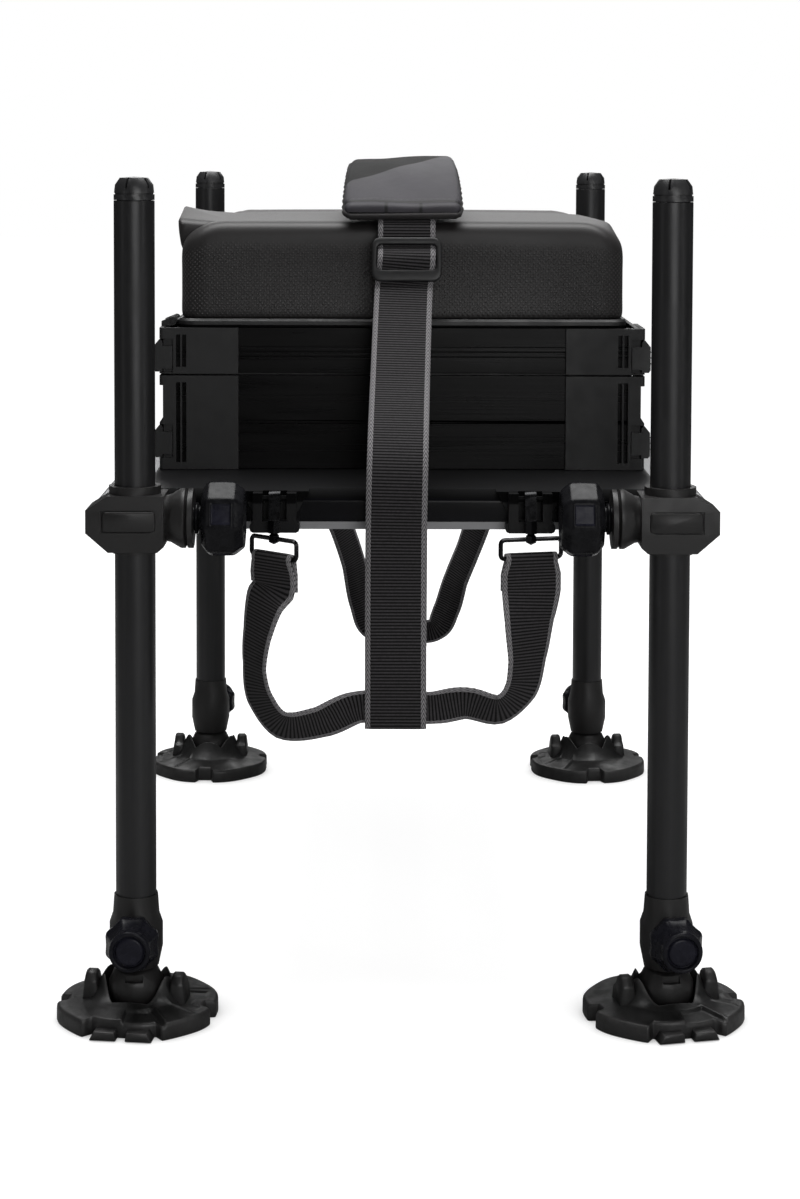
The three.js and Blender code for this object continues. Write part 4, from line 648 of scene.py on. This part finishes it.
def plate_height(reach, angle, rim):
    """Height of the plate's top in millimetres. Angle 0 is the front of the foot."""
    front, off_front = math.cos(angle), abs(angle)
    frame = 15 + 12.5 * smooth(0.9, 0.05, front) - 3.5 * smooth(-0.1, -0.9, front)
    base = 10.2 + 3.4 * smooth(49, 24, reach)
    height = base + (frame - base) * max(0.0, 1 - (reach - 20.6) / 8.5) ** 1.4
    height -= 1.9 * smooth(math.radians(34), math.radians(31), off_front) * smooth(27.5, 28.5, reach)
    for crease in (34, 61, 118, 146):
        off = abs(off_front - math.radians(crease)) * reach
        height += 0.8 * math.exp(-(off / 1.3) ** 2) * smooth(24, 28, reach) * smooth(rim - 2, rim - 5, reach)
    panel = smooth(29, 30, reach) * smooth(rim - 6, rim - 7, reach)
    panel *= smooth(math.radians(66), math.radians(68), off_front)
    return height - 0.9 * panel * smooth(math.radians(112), math.radians(110), off_front)


def notch(angle, middle, half):
    """1 inside a notch in the rim, 0 outside it. Middle and half are in degrees."""
    off = math.degrees(abs((angle - math.radians(middle) + math.pi) % math.tau - math.pi))
    return smooth(half + 0.9, half - 0.9, off)


def foot_plate(name, turn):
    """A round plate whose top rises to a six-sided rim round the ball, with notches in its edge."""
    count, floor_height, bevel, inner_rim = 360, 1.4, 1.4, 0.5
    points, wear, outline = [], [], []
    for i in range(count):
        angle = i / count * math.tau
        cut = max(notch(angle, 0, 29), 0.8 * notch(angle, 83, 6.5), 0.8 * notch(angle, -83, 6.5),
                  notch(angle, 180, 8))
        rim = 49.6 * (1 - 0.010 * math.cos(8 * angle)) - 7.5 * cut
        outline.append((angle, rim, 18.6 / math.cos((angle + math.pi / 6) % (math.pi / 3) - math.pi / 6)))
    rows = [("floor", 0.3), ("inner", 0.0), ("inner", 0.5), ("inner", 0.94), ("top", 0.0)]
    rows += [("top", (k / 30) ** 1.25) for k in range(1, 31)]
    rows += [("edge", 0.4), ("edge", 1.0), ("side", 0.12), ("side", 0.5), ("side", 0.92), ("foot", 0),
             ("under", 0.4)]
    for kind, share in rows:
        for angle, rim, inner in outline:
            edge_top = plate_height(rim - bevel, angle, rim)
            worn = 0.0
            if kind == "floor":
                reach, z = inner * share, floor_height
            elif kind == "inner":
                reach = inner - 0.4 * (1 - share)
                z = floor_height + (plate_height(inner, angle, rim) - floor_height) * share
            elif kind == "top":
                reach = inner + inner_rim + (rim - bevel - inner - inner_rim) * share
                z = plate_height(reach, angle, rim)
                bead = math.exp(-((reach - inner - 1.0) / 0.8) ** 2)
                worn = max(0.55 * smooth(0.90, 1.0, share), bead * smooth(-0.2, 0.3, math.cos(angle)))
            elif kind == "edge":
                reach, z, worn = rim - bevel + 1.2 * share, edge_top - 1.3 * share ** 1.5, 0.7
            elif kind == "side":
                reach, z = rim + 0.1 * share, (edge_top - 1.5) * (1 - share) + 0.3 * share
                worn = 0.5 * (1 - 0.6 * share)
            elif kind == "foot":
                reach, z = rim - 0.3, 0.0
            else:
                reach, z = rim * share, 0.0
            points.append((reach * math.sin(angle), -reach * math.cos(angle) + 4 * smooth(20, 46, reach), z))
            wear.append(worn)
    faces = ring_faces(len(rows), count)
    tower, clip = tower_shape(), clip_shape()
    for flip in (-1, 1):
        wear += [0.15 + 0.45 * smooth(26, 29.5, z) for _, _, z in tower]
        wear += [smooth(4.6, 5.4, z) * smooth(-42, -43.5, y) for _, y, z in clip]
        for part in (tower, clip):
            faces += [face[::flip] for face in ring_faces(BLOCK_RINGS, len(part) // BLOCK_RINGS, len(points))]
            points += [(flip * x, y, z) for x, y, z in part]
    return at_corner(name, points, faces, plate_plastic, 0.0, turn, wear=wear)


def block(outline, low, high, axis, round_off):
    """Points of a closed block from an outline, with its two ends drawn in a little, as BLOCK_RINGS rings."""
    middle = np.mean(outline, axis=0)
    points = []
    for place, shrink in ((low, round_off), (low + round_off, 0), (high - round_off, 0), (high, round_off)):
        for p in outline:
            v = np.asarray(p, float) - middle
            a, b = middle + v * (1 - shrink / np.linalg.norm(v))
            points.append((place, a, b) if axis == "x" else (a, place, b))
    return points


def rounded(corners, radius, steps=4):
    """An outline with its corners rounded off."""
    corners = np.asarray(corners, float)
    out = []
    for p, a, b in zip(corners, np.roll(corners, 1, axis=0), np.roll(corners, -1, axis=0)):
        before, after = p + unit(a - p) * radius, p + unit(b - p) * radius
        for t in np.linspace(0, 1, steps + 1):
            out.append((1 - t) ** 2 * before + 2 * t * (1 - t) * p + t * t * after)
    return out


def tower_shape():
    """A post with a hooked, rounded head beside the ball, a little narrower towards its top."""
    outline = rounded([(-8.5, 8.5), (-8.5, 23.5), (-5.5, 28.2), (-1.5, 29.8), (2.2, 28.6), (3.4, 25.6),
                       (5.5, 22.5), (8.5, 20.5), (8.5, 8.5)], 1.3)
    post = block(outline, 21.6, 32.6, "x", 1.1)
    return [(x + 0.10 * (z - 10) * (1 if x < 27 else -1), y, z) for x, y, z in post]


def clip_shape():
    """A glossy lug in the front notch."""
    return block(rounded([(2.8, 0.2), (3.6, 5.6), (16.4, 5.6), (19.2, 0.2)], 0.5, 2), -44.6, -34, "y", 0.6)


def clamp_bar(name):
    """A rounded bar set into the sunk panel on the outer face of the clamp."""
    side, end = signs(name)
    bar = block(rounded([(-18.4, -6.2), (-18.4, 6.2), (14.0, 6.2), (14.0, -6.2)], 2.4), 15.8, 18.1, "y", 0.9)
    points = [(-side * x, end * y, z) for x, y, z in bar]
    return at_corner(name, points, ring_faces(BLOCK_RINGS, len(bar) // BLOCK_RINGS), casting, CLAMP_HEIGHT)


for corner in CORNERS:
    names = [f"{corner}_{kind}" for kind in ("clamp_knob", "foot_knob", "foot_plate")]
    turn = FOOT_TURN[corner]
    put(clamp_knob(names[0] + "_cover"), names[0], names[0])
    put(foot_knob(names[1] + "_cover", turn), names[1], names[1])
    put(foot_plate(names[2] + "_cover", turn + PLATE_TURN[corner]), f"{corner}_foot", names[2])
    put(clamp_bar(f"{corner}_clamp_bar"), "frame")


# Seat cushion

CUSHION_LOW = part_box("seat_cushion")[0][2]
CUSHION_THICK = 0.0644
CUSHION_X = 0.148
CUSHION_Y = 0.171
SEAT_TOP = CUSHION_LOW + CUSHION_THICK


def seat_rise(x, y):
    crown = 0.003 * (1 - (x / CUSHION_X) ** 2) * (1 - (y / CUSHION_Y) ** 2)
    far_welt = 0.0022 * math.exp(-((y - CUSHION_Y + 0.022) / 0.009) ** 2)
    side = max(0.0, 1 - (CUSHION_X - abs(x)) / 0.030) ** 2
    end = max(0.0, 1 - (CUSHION_Y - abs(y)) / 0.070)
    return crown + far_welt - 0.0016 * (y + CUSHION_Y) / (2 * CUSHION_Y) - 0.014 * side * end


def seat_lip():
    """Rings of the raised edge along the cushion's rear side: a flap that is highest at its near end."""
    stations, sides, low, round_off, most_rise, width = 90, 14, 0.016, 0.0014, 0.0105, 0.034
    start, finish = -CUSHION_Y + 0.017, CUSHION_Y - 0.012
    points = []
    for i in range(stations + 1):
        share = i / stations
        y = start + (finish - start) * share
        rise = most_rise * (1 - share) ** 1.15 + 0.0006 + seat_rise(-CUSHION_X, y)
        outer = -CUSHION_X - 0.0015 * (2 - share) - 0.0012 * math.sin(share * math.pi)
        top = SEAT_TOP + rise
        bottom = top - low - rise * 0.4
        nose = min(1.0, share * stations / 2 + 0.35)
        section = []
        for u in np.linspace(0, 1, sides):
            if u < 0.4:
                v = u / 0.4
                section.append((outer + 0.0016 * (1 - v) ** 2, bottom + (top - round_off - bottom) * v))
            elif u < 0.6:
                v = (u - 0.4) / 0.2
                quarter = v * math.pi / 2
                section.append((outer + 0.0015 * (1 - math.cos(quarter)) + 0.0012 * v,
                                top - round_off * (1 - math.sin(quarter))))
            else:
                v = (u - 0.6) / 0.4
                section.append((outer + 0.0027 + (width - 0.0027) * v, top - (rise + 0.0012) * v ** 0.8))
        section.append((outer + width, bottom))
        middle = outer + 0.004
        points += [(middle + (x - middle) * nose, y, z - (1 - nose) * 0.004) for x, z in section]
    return points, stations + 1


def seat_cushion():
    """The padded seat: sides that pull in a little, a rounded upper edge, a crown and a raised rear lip."""
    count, edge, corner, around, crown_rings = 300, 0.015, 0.016, 1.26, 26
    profile = [(0.10, 0.0), (0.03, 0.012), (0, 0.05), (0, 0.25), (0, 0.5), (0, 0.72), (0.04, 0.83), (0.13, 0.905),
               (0.28, 0.957), (0.5, 0.985), (0.75, 0.996), (1.0, 1.0)]
    curve, _ = smooth_path([(a * edge, b * CUSHION_THICK, 0) for a, b in profile], 0.0018)
    points, uv, emboss = [], [], []
    height_along = 0.0
    for n, (inset, high, _) in enumerate(curve):
        share = high / CUSHION_THICK
        pull = 0.0025 * math.sin(math.pi * min(1, share * 1.1))
        if n:
            height_along += math.hypot(inset - curve[n - 1][0], high - curve[n - 1][1])
        dotted = max(0.0, min(1.0, (0.80 - share) / 0.12)) if share > 0.02 else 0.0
        for i, (x, y) in enumerate(rounded_outline(CUSHION_X - inset, CUSHION_Y - inset, corner, count)):
            along_x, along_y = CUSHION_X - 0.03, CUSHION_Y - 0.03
            if abs(x) < along_x and abs(y) > CUSHION_Y - 0.05:
                y -= math.copysign(pull * math.cos(x / along_x * math.pi / 2), y)
            if abs(y) < along_y and abs(x) > CUSHION_X - 0.05:
                x -= math.copysign(pull * math.cos(y / along_y * math.pi / 2), x)
            points.append((x, y, CUSHION_LOW + high + share ** 3 * seat_rise(x, y)))
            uv.append((i / count * around, height_along))
            emboss.append(dotted)
    for k in range(1, crown_rings + 1):
        share = 1 - k / (crown_rings + 0.5)
        outline = rounded_outline((CUSHION_X - edge) * share, (CUSHION_Y - edge) * (0.25 + 0.75 * share),
                                  corner * share + 0.0005, count)
        for i, (x, y) in enumerate(outline):
            points.append((x, y, SEAT_TOP + seat_rise(x, y)))
            uv.append((i / count * around, height_along + (1 - share) * 0.12))
            emboss.append(0.0)
    lip, lip_rings = seat_lip()
    faces = ring_faces(len(points) // count, count) + ring_faces(lip_rings, len(lip) // lip_rings, len(points))
    uv += [(y, z) for _, y, z in lip]
    emboss += [0.0] * len(lip)
    return mesh_object("cushion_cover", points + lip, faces, vinyl, {"skin": uv}, {"emboss": emboss})


cushion = seat_cushion()
put(cushion, "seat", "seat_cushion")


# Shoulder pad

PAD_WIDTH = 0.079
PAD_THICK = 0.010
PAD_BASE = 0.002
PAD_RISE = 0.032


def off_pad(y, above):
    """A place above the arched underside of the pad, measured square to it."""
    slope = -8 * PAD_RISE * y / PAD_LENGTH ** 2
    height = SEAT_TOP + PAD_BASE + PAD_RISE * (1 - (2 * y / PAD_LENGTH) ** 2)
    long = math.hypot(1, slope)
    return y - above * slope / long, height + above / long


def pad_width(y):
    """Half the pad's width: it narrows a little over the crest and its corners are cut round."""
    corner = max(0.0, abs(y) - (PAD_LENGTH / 2 - 0.008)) / 0.008
    waist = 1 - 0.045 * math.cos(math.pi * y / PAD_LENGTH) ** 2
    return PAD_WIDTH / 2 * waist * (1 - 0.07 * corner ** 2.5)


def shoulder_pad():
    across, along, round_off = 64, 220, 0.006
    points, flat, upper = [], [], []
    for v in np.linspace(-1, 1, along + 1):
        y = v * PAD_LENGTH / 2
        hem = PAD_LENGTH / 2 - abs(y)
        end = math.sqrt(max(0.02, 1 - (1 - min(1.0, hem / round_off)) ** 2))
        sewn = 0.0011 * math.exp(-((hem - HEM_INSET) / 0.0016) ** 2) + (0.0008 if hem < HEM_INSET else 0)
        lean = 0.003 * math.cos(math.pi * y / PAD_LENGTH) ** 2
        for side in (1, -1):
            for c in range(across):
                u = ((c + 0.5) / across * 2 - 1) * side
                edge = min(1.0, (1 - abs(u)) * PAD_WIDTH / 2 / round_off)
                lift = side * PAD_THICK / 2 * math.sqrt(max(0, 1 - (1 - edge) ** 2)) * end
                if side > 0:
                    lift = lift * (1 + 0.10 * math.sin(9 * v + 4 * u) * (1 - u * u)) - sewn
                x = u * pad_width(y)
                out, height = off_pad(y, PAD_THICK / 2 + lift)
                points.append((x, out, height - (lean * ((1 - u) / 2) ** 1.5 if side > 0 else 0)))
                flat.append((x, y))
                upper.append(max(0.0, side))
    return mesh_object("shoulder_pad_cover", points, ring_faces(along + 1, 2 * across), pad_look,
                       {"flat": flat}, {"upper": upper})


def pad_binding():
    """The dark tape that closes the pad's edge all round, a little wavy as sewn tape is."""
    stations, sides, radius = 120, 8, 0.0021
    path = []
    for side, order in ((1, range(stations + 1)), (-1, range(stations, -1, -1))):
        for k in order:
            y = (k / stations * 2 - 1) * (PAD_LENGTH / 2 + 0.0006)
            wave = 0.0005 * math.sin(k * 1.7 + side)
            path.append((side * (pad_width(y) - 0.0012 + wave), *off_pad(y, 0.0022 + wave)))
    path = np.array(path)
    points = []
    for i, place in enumerate(path):
        tangent = unit(path[(i + 1) % len(path)] - path[i - 1])
        level = unit(np.cross((0, 0, 1), tangent))
        rise = np.cross(tangent, level)
        for k in range(sides):
            a = k / sides * math.tau
            points.append(place + radius * (math.cos(a) * level + math.sin(a) * rise))
    return mesh_object("shoulder_pad_binding", points, ring_faces(len(path), sides, closed=True), binding)


pad = shoulder_pad()
put(pad, "seat", "shoulder_pad")
put(pad_binding(), "seat")


# Webbing. Places are repeated from the CAD source, in metres.

WEB_WIDTH = 0.038
WEB_THICK = 0.0016
REST_GAP = 0.0003
SLIP_GAP = 0.0004
BUCKLE_THICK = 0.0024
BUCKLE_HEIGHT = 0.030
BUCKLE_CENTRE = SEAT_TOP - 0.0244
BUCKLE_REACH = 0.1865
BUCKLE_SHIFT = 0.0027
BUCKLE_LEAN = math.asin(0.3)
STRAP_REACH = 0.290
STRAP_CORNER = DECK + 0.0178
LAYER_GAP = 0.0028
NEAR_SHIFT, FAR_SHIFT = -0.004, 0.005
NEAR_BAND, FAR_BAND = DECK - 0.1322, DECK - 0.2022
BAND_REACH = 0.2955
FOLDED_WIDTH = 0.020
FOLDED_THICK = 0.0032
LOOP_TAIL = 0.020
LOOP_LAYER_GAP = 0.0024
EYE_WIDTH = 0.042
EYE_CORNER = 0.004
EYE_WIRE = 0.0015
EYE_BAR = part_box("right_rear_snap_hook")[0][2] + EYE_WIRE
HOOK_OFFSET = 0.0795
HOOK_LINE = 0.2915
BUCKLE_WIDTH = 0.046
UNDER_PAD = REST_GAP + WEB_THICK / 2
WEAVE_OFFSET = BUCKLE_THICK / 2 + REST_GAP + WEB_THICK / 2
WEAVE = [(-1.08, -1), (-0.74, -1.1), (-0.43, 0), (-0.14, 1.08), (0.14, 1.08), (0.43, 0), (0.74, -1.1),
         (1.08, -1)]
RETURN = [(1.08, -2.3), (0.8, -2.2), (0.5, -1.6), (0.2, -1.02), (-0.1, -1.02)]


def on_buckle(down, out):
    return (BUCKLE_REACH + down * math.sin(BUCKLE_LEAN) + out * math.cos(BUCKLE_LEAN),
            BUCKLE_CENTRE - down * math.cos(BUCKLE_LEAN) + out * math.sin(BUCKLE_LEAN))


def loop_under(x, height):
    half = FOLDED_THICK / 2 + SLIP_GAP + WEB_THICK / 2
    low = height - FOLDED_WIDTH / 2 - 3 * SLIP_GAP - WEB_THICK
    high = height + FOLDED_WIDTH / 2 + WEB_THICK
    return [(x, BAND_REACH + out * half, z) for out, z in (
        (1, high), (1, low + half), (0.8, low + 0.3 * half), (0, low), (-0.8, low + 0.3 * half),
        (-1, low + half), (-1, high))]


def over_seat_edge(x):
    out, height = off_pad(PAD_LENGTH / 2, -UNDER_PAD)
    top_out, top_height = on_buckle(-BUCKLE_HEIGHT / 2 - WEB_THICK, -WEAVE_OFFSET)
    return [(x, out, height), (x, (out + top_out) / 2 + WEB_THICK, (height + top_height) / 2)]


def along_buckle(shares):
    return [(BUCKLE_SHIFT - 0.0016 * max(0, down), *on_buckle(down * BUCKLE_HEIGHT / 2, out * WEAVE_OFFSET))
            for down, out in shares]


def past_rail(x, low, behind):
    lean = (STRAP_REACH - BUCKLE_REACH) / (BUCKLE_CENTRE - STRAP_CORNER)
    middle = (BUCKLE_REACH + STRAP_REACH) / 2
    height = (BUCKLE_CENTRE - BUCKLE_HEIGHT / 2 + STRAP_CORNER) / 2
    return [(x * 0.35, middle - behind, height - behind * lean), (x * 0.8, STRAP_REACH - behind, STRAP_CORNER),
            (x, STRAP_REACH + WEB_THICK - behind, (2 * STRAP_CORNER + low) / 3)]


def under_pad(side):
    places = [(0, *off_pad(share * PAD_LENGTH / 2, -UNDER_PAD)) for share in (1 / 3, 2 / 3)]
    return places[::-1] if side < 0 else places


def carry_strap():
    near = [*along_buckle(RETURN)[::-1], *past_rail(NEAR_SHIFT, NEAR_BAND, LAYER_GAP),
            *loop_under(NEAR_SHIFT, NEAR_BAND)[::-1], *past_rail(NEAR_SHIFT, NEAR_BAND, 0)[::-1],
            *along_buckle(WEAVE)[::-1], *over_seat_edge(BUCKLE_SHIFT)[::-1], *under_pad(-1)]
    far = [*under_pad(1), *over_seat_edge(0), *past_rail(FAR_SHIFT, FAR_BAND, 0),
           *loop_under(FAR_SHIFT, FAR_BAND), *past_rail(FAR_SHIFT, FAR_BAND, LAYER_GAP)[1:][::-1]]
    route = [(x, -y, z) for x, y, z in near] + [(0, *off_pad(0, -UNDER_PAD))] + far
    return ribbon("carry_webbing", [(p, (-1, 0, 0), WEB_WIDTH, WEB_THICK, 0) for p in route])


def buckle_frame():
    """A rounded frame with a broad lower bar, and the bar that the webbing goes round."""
    count, sections, bar_sides = 160, 16, 12
    outer = rounded_outline(BUCKLE_WIDTH / 2, BUCKLE_HEIGHT / 2, 0.0058, count)
    inner = rounded_outline(BUCKLE_WIDTH / 2 - 0.0036, BUCKLE_HEIGHT / 2 - 0.0064, 0.003, count) + (0, 0.0016)
    places = []
    for k in range(sections):
        c, s = math.cos(k / sections * math.tau), math.sin(k / sections * math.tau)
        across = 0.5 + 0.5 * math.copysign(abs(c) ** 0.55, c)
        deep = 0.0017 * math.copysign(abs(s) ** 0.6, s)
        places += [(x, -z, deep) for x, z in inner + (outer - inner) * across]
    faces = ring_faces(sections, count, closed=True) + ring_faces(2, bar_sides, len(places))
    for end in (-1, 1):
        for k in range(bar_sides):
            a = k / bar_sides * math.tau
            places.append((end * (BUCKLE_WIDTH / 2 - 0.003), 0.0016 * math.cos(a), 0.0011 * math.sin(a)))
    points = []
    for x, down, out in places:
        y, height = on_buckle(down, out)
        points.append((BUCKLE_SHIFT + x, -y, height))
    return mesh_object("strap_buckle_frame", points, faces, black)


put(buckle_frame(), "seat", "strap_buckle")

strap = carry_strap()
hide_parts("carry_strap")
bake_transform(strap)

# Stations of the straps between the hooks: place along, height, lean in degrees and how far folded
NEAR_SHARES = [
    (-1.06, 0.73, 50, 0), (-1.13, 0.49, 62, 0), (-1.15, 0.27, 66, 0), (-1.1, 0.05, 58, 0.05),
    (-0.93, -0.12, 48, 0.2), (-0.64, -0.1, 35, 0.6), (-0.35, 0, 0, 1), (-0.05, 0, 0, 1), (0.25, 0, 0, 1),
    (0.5, 0.03, 30, 0.7), (0.76, -0.01, 45, 0.3), (0.92, 0.11, 50, 0.1), (0.975, 0.32, 50, 0),
    (0.99, 0.58, 35, 0),
]
FAR_SHARES = [
    (-0.81, 0.775, 50, 0), (-0.63, 0.56, 62, 0), (-0.5, 0.37, 60, 0.1), (-0.4, 0.15, 40, 0.6),
    (-0.28, 0.01, 0, 1), (0.06, 0, 0, 1), (0.4, 0.01, 0, 1), (0.52, 0.12, 40, 0.6), (0.62, 0.28, 60, 0.1),
    (0.75, 0.44, 62, 0), (0.86, 0.6, 58, 0), (0.95, 0.78, 45, 0),
]


def lerp(a, b, t):
    return a + (b - a) * t


def fold_over_eye(side, turn):
    angle = math.radians(turn)
    across = np.array([math.cos(angle), math.sin(angle), 0])
    out = np.array([math.sin(angle), -math.cos(angle), 0])
    reach = EYE_WIRE + SLIP_GAP + WEB_THICK / 2
    half = LOOP_LAYER_GAP / 2
    gathered = EYE_WIDTH - 2 * EYE_CORNER - 2 * SLIP_GAP
    places = [(-half, -LOOP_TAIL), (-half, -LOOP_TAIL / 2), (-0.9 * reach, -0.8 * reach), (-reach, 0),
              (-0.7 * reach, 0.7 * reach), (0, reach), (0.7 * reach, 0.7 * reach), (reach, 0),
              (0.9 * reach, -0.8 * reach), (half, -LOOP_TAIL / 2), (half, -LOOP_TAIL)]
    middle = np.array([side * HOOK_OFFSET, -HOOK_LINE, EYE_BAR])
    return [(middle + out * forward + np.array([0, 0, rise]), across,
             WEB_WIDTH if rise < -LOOP_TAIL / 3 else gathered, WEB_THICK, 0) for forward, rise in places]


def hook_strap(name, band_height, shares, left_turn, right_turn, flip):
    left = fold_over_eye(-1, left_turn)
    right = [(p, -a, w, t, f) for p, a, w, t, f in fold_over_eye(1, right_turn)[::-1]]
    places = [np.array([along * HOOK_OFFSET,
                        -lerp(BAND_REACH, HOOK_LINE + LOOP_LAYER_GAP / 2, max(rise, 0)),
                        lerp(band_height, EYE_BAR, rise)]) for along, rise, _, _ in shares]
    path = [left[-1][0], *places, right[0][0]]
    band = []
    for i, (_, _, turn, folded) in enumerate(shares):
        along = unit(path[i + 2] - path[i])
        angle = math.radians(turn)
        across = np.array([-along[2] * math.cos(angle), -math.sin(angle), along[0] * math.cos(angle)])
        band.append((places[i], across, lerp(WEB_WIDTH, FOLDED_WIDTH, folded), WEB_THICK, folded))
    stations = [*left, *band, *right]
    if flip:
        stations = [(p * (1, -1, 1), np.asarray(a) * (1, -1, 1), w, t, f) for p, a, w, t, f in stations]
    return ribbon(name, stations, fold=0.0009)


for name, height, shares, turns, flip in (
    ("hook_strap_right", NEAR_BAND, NEAR_SHARES, (-42, 14), False),
    ("hook_strap_left", FAR_BAND, FAR_SHARES, (-14, 14), True),
):
    put(hook_strap(name + "_webbing", height, shares, *turns, flip), "frame", name)


# Floor, light and camera

FLOOR_GLOW = 0.92
FLOOR_HALF = 14
FLOOR_DROP = 0.0002
ROOM_LIGHT = 0.05


def floor_surface():
    """A plain pale floor: it takes shadows, the camera sees it as white beyond them, and its glow is dimmed close
    to the object as a painted contact shadow.
    """
    s = Surface("floor_white", (170, 170, 170), 0.95, Specular_IOR_Level=0.0)
    s.shader.inputs["Emission Color"].default_value = (1, 1, 1, 1)
    near = s.add("VectorMath", {"operation": "LENGTH"}, i0=s.place()).outputs["Value"]
    glow = s.span(near, 0.5, 2.2, FLOOR_GLOW, 1.0)
    # Painted contact shadow: the camera-seen glow is dimmed where ambient occlusion finds the object close by.
    contact_shade = s.add("AmbientOcclusion", {"samples": 12}, Distance=0.035).outputs["AO"]
    glow = s.times(glow, s.span(contact_shade, 0.1, 1, 0.3))
    s.to("Emission Strength", s.times(s.add("LightPath").outputs["Is Camera Ray"], glow))
    return s.material


square = ((-1, -1), (1, -1), (1, 1), (-1, 1))
floor = mesh_object("floor", [(x * FLOOR_HALF, y * FLOOR_HALF, -FLOOR_DROP) for x, y in square], [(0, 1, 2, 3)],
                    floor_surface())

world = bpy.data.worlds.new("studio")
scene.world = world
world.use_nodes = True
tree = world.node_tree
background = tree.nodes["Background"]
background.inputs["Color"].default_value = (1, 1, 1, 1)
path = tree.nodes.new("ShaderNodeLightPath")
strength = tree.nodes.new("ShaderNodeMapRange")
tree.links.new(path.outputs["Is Camera Ray"], strength.inputs[0])
strength.inputs[3].default_value = ROOM_LIGHT
strength.inputs[4].default_value = 1.0
tree.links.new(strength.outputs[0], background.inputs["Strength"])


def area_light(name, place, target, size, power):
    data = bpy.data.lights.new(name, "AREA")
    data.shape = "RECTANGLE"
    data.size, data.size_y = size
    data.energy = power
    lamp = bpy.data.objects.new(name, data)
    lamp.location = place
    lamp.rotation_euler = (Vector(target) - Vector(place)).to_track_quat("-Z", "Y").to_euler()
    scene.collection.objects.link(lamp)


for name, place, target, size, power in (
    ("left_strip", (-1.7, -1.3, 0.7), (0, -0.2, 0.3), (0.15, 1.4), 1.2),
    ("right_strip", (1.7, -1.1, 0.7), (0, -0.2, 0.3), (0.15, 1.4), 2),
    ("back_box", (0, 2.2, 1.3), (0, 0, 0.45), (1.6, 0.7), 9),
    ("top_box", (0, 0.1, 2.0), (0, 0, 0.4), (1.8, 1.2), 48),
    ("front_box", (0.5, -2.0, 0.75), (0, 0, 0.3), (1.0, 1.0), 11),
):
    area_light(name, place, target, size, power)

# The photo is 1199 pixels high. Its focal length and the shift of its centre are in pixels too.
PICTURE_HEIGHT, FOCAL, CENTRE_SHIFT = 1199, 2388.3, -308.1
camera_data = bpy.data.cameras.new("camera")
camera_data.sensor_width = 36
camera_data.lens = FOCAL * camera_data.sensor_width / PICTURE_HEIGHT
camera_data.shift_y = CENTRE_SHIFT / PICTURE_HEIGHT
camera = bpy.data.objects.new("camera", camera_data)
camera.location = (-0.00696, -1.75764, DECK + 0.20763)
pitch, yaw, roll = (math.radians(a) for a in (-3.2, 0.1925, 0.18))
forward = Vector((math.sin(yaw) * math.cos(pitch), math.cos(yaw) * math.cos(pitch), math.sin(pitch)))
level = forward.cross(Vector((0, 0, 1))).normalized()
upward = level.cross(forward)
right = level * math.cos(roll) + upward * math.sin(roll)
up = upward * math.cos(roll) - level * math.sin(roll)
camera.rotation_mode = "QUATERNION"
camera.rotation_quaternion = Matrix((right, up, -forward)).transposed().to_quaternion()
scene.collection.objects.link(camera)
scene.camera = camera
scene.view_settings.view_transform = "Standard"
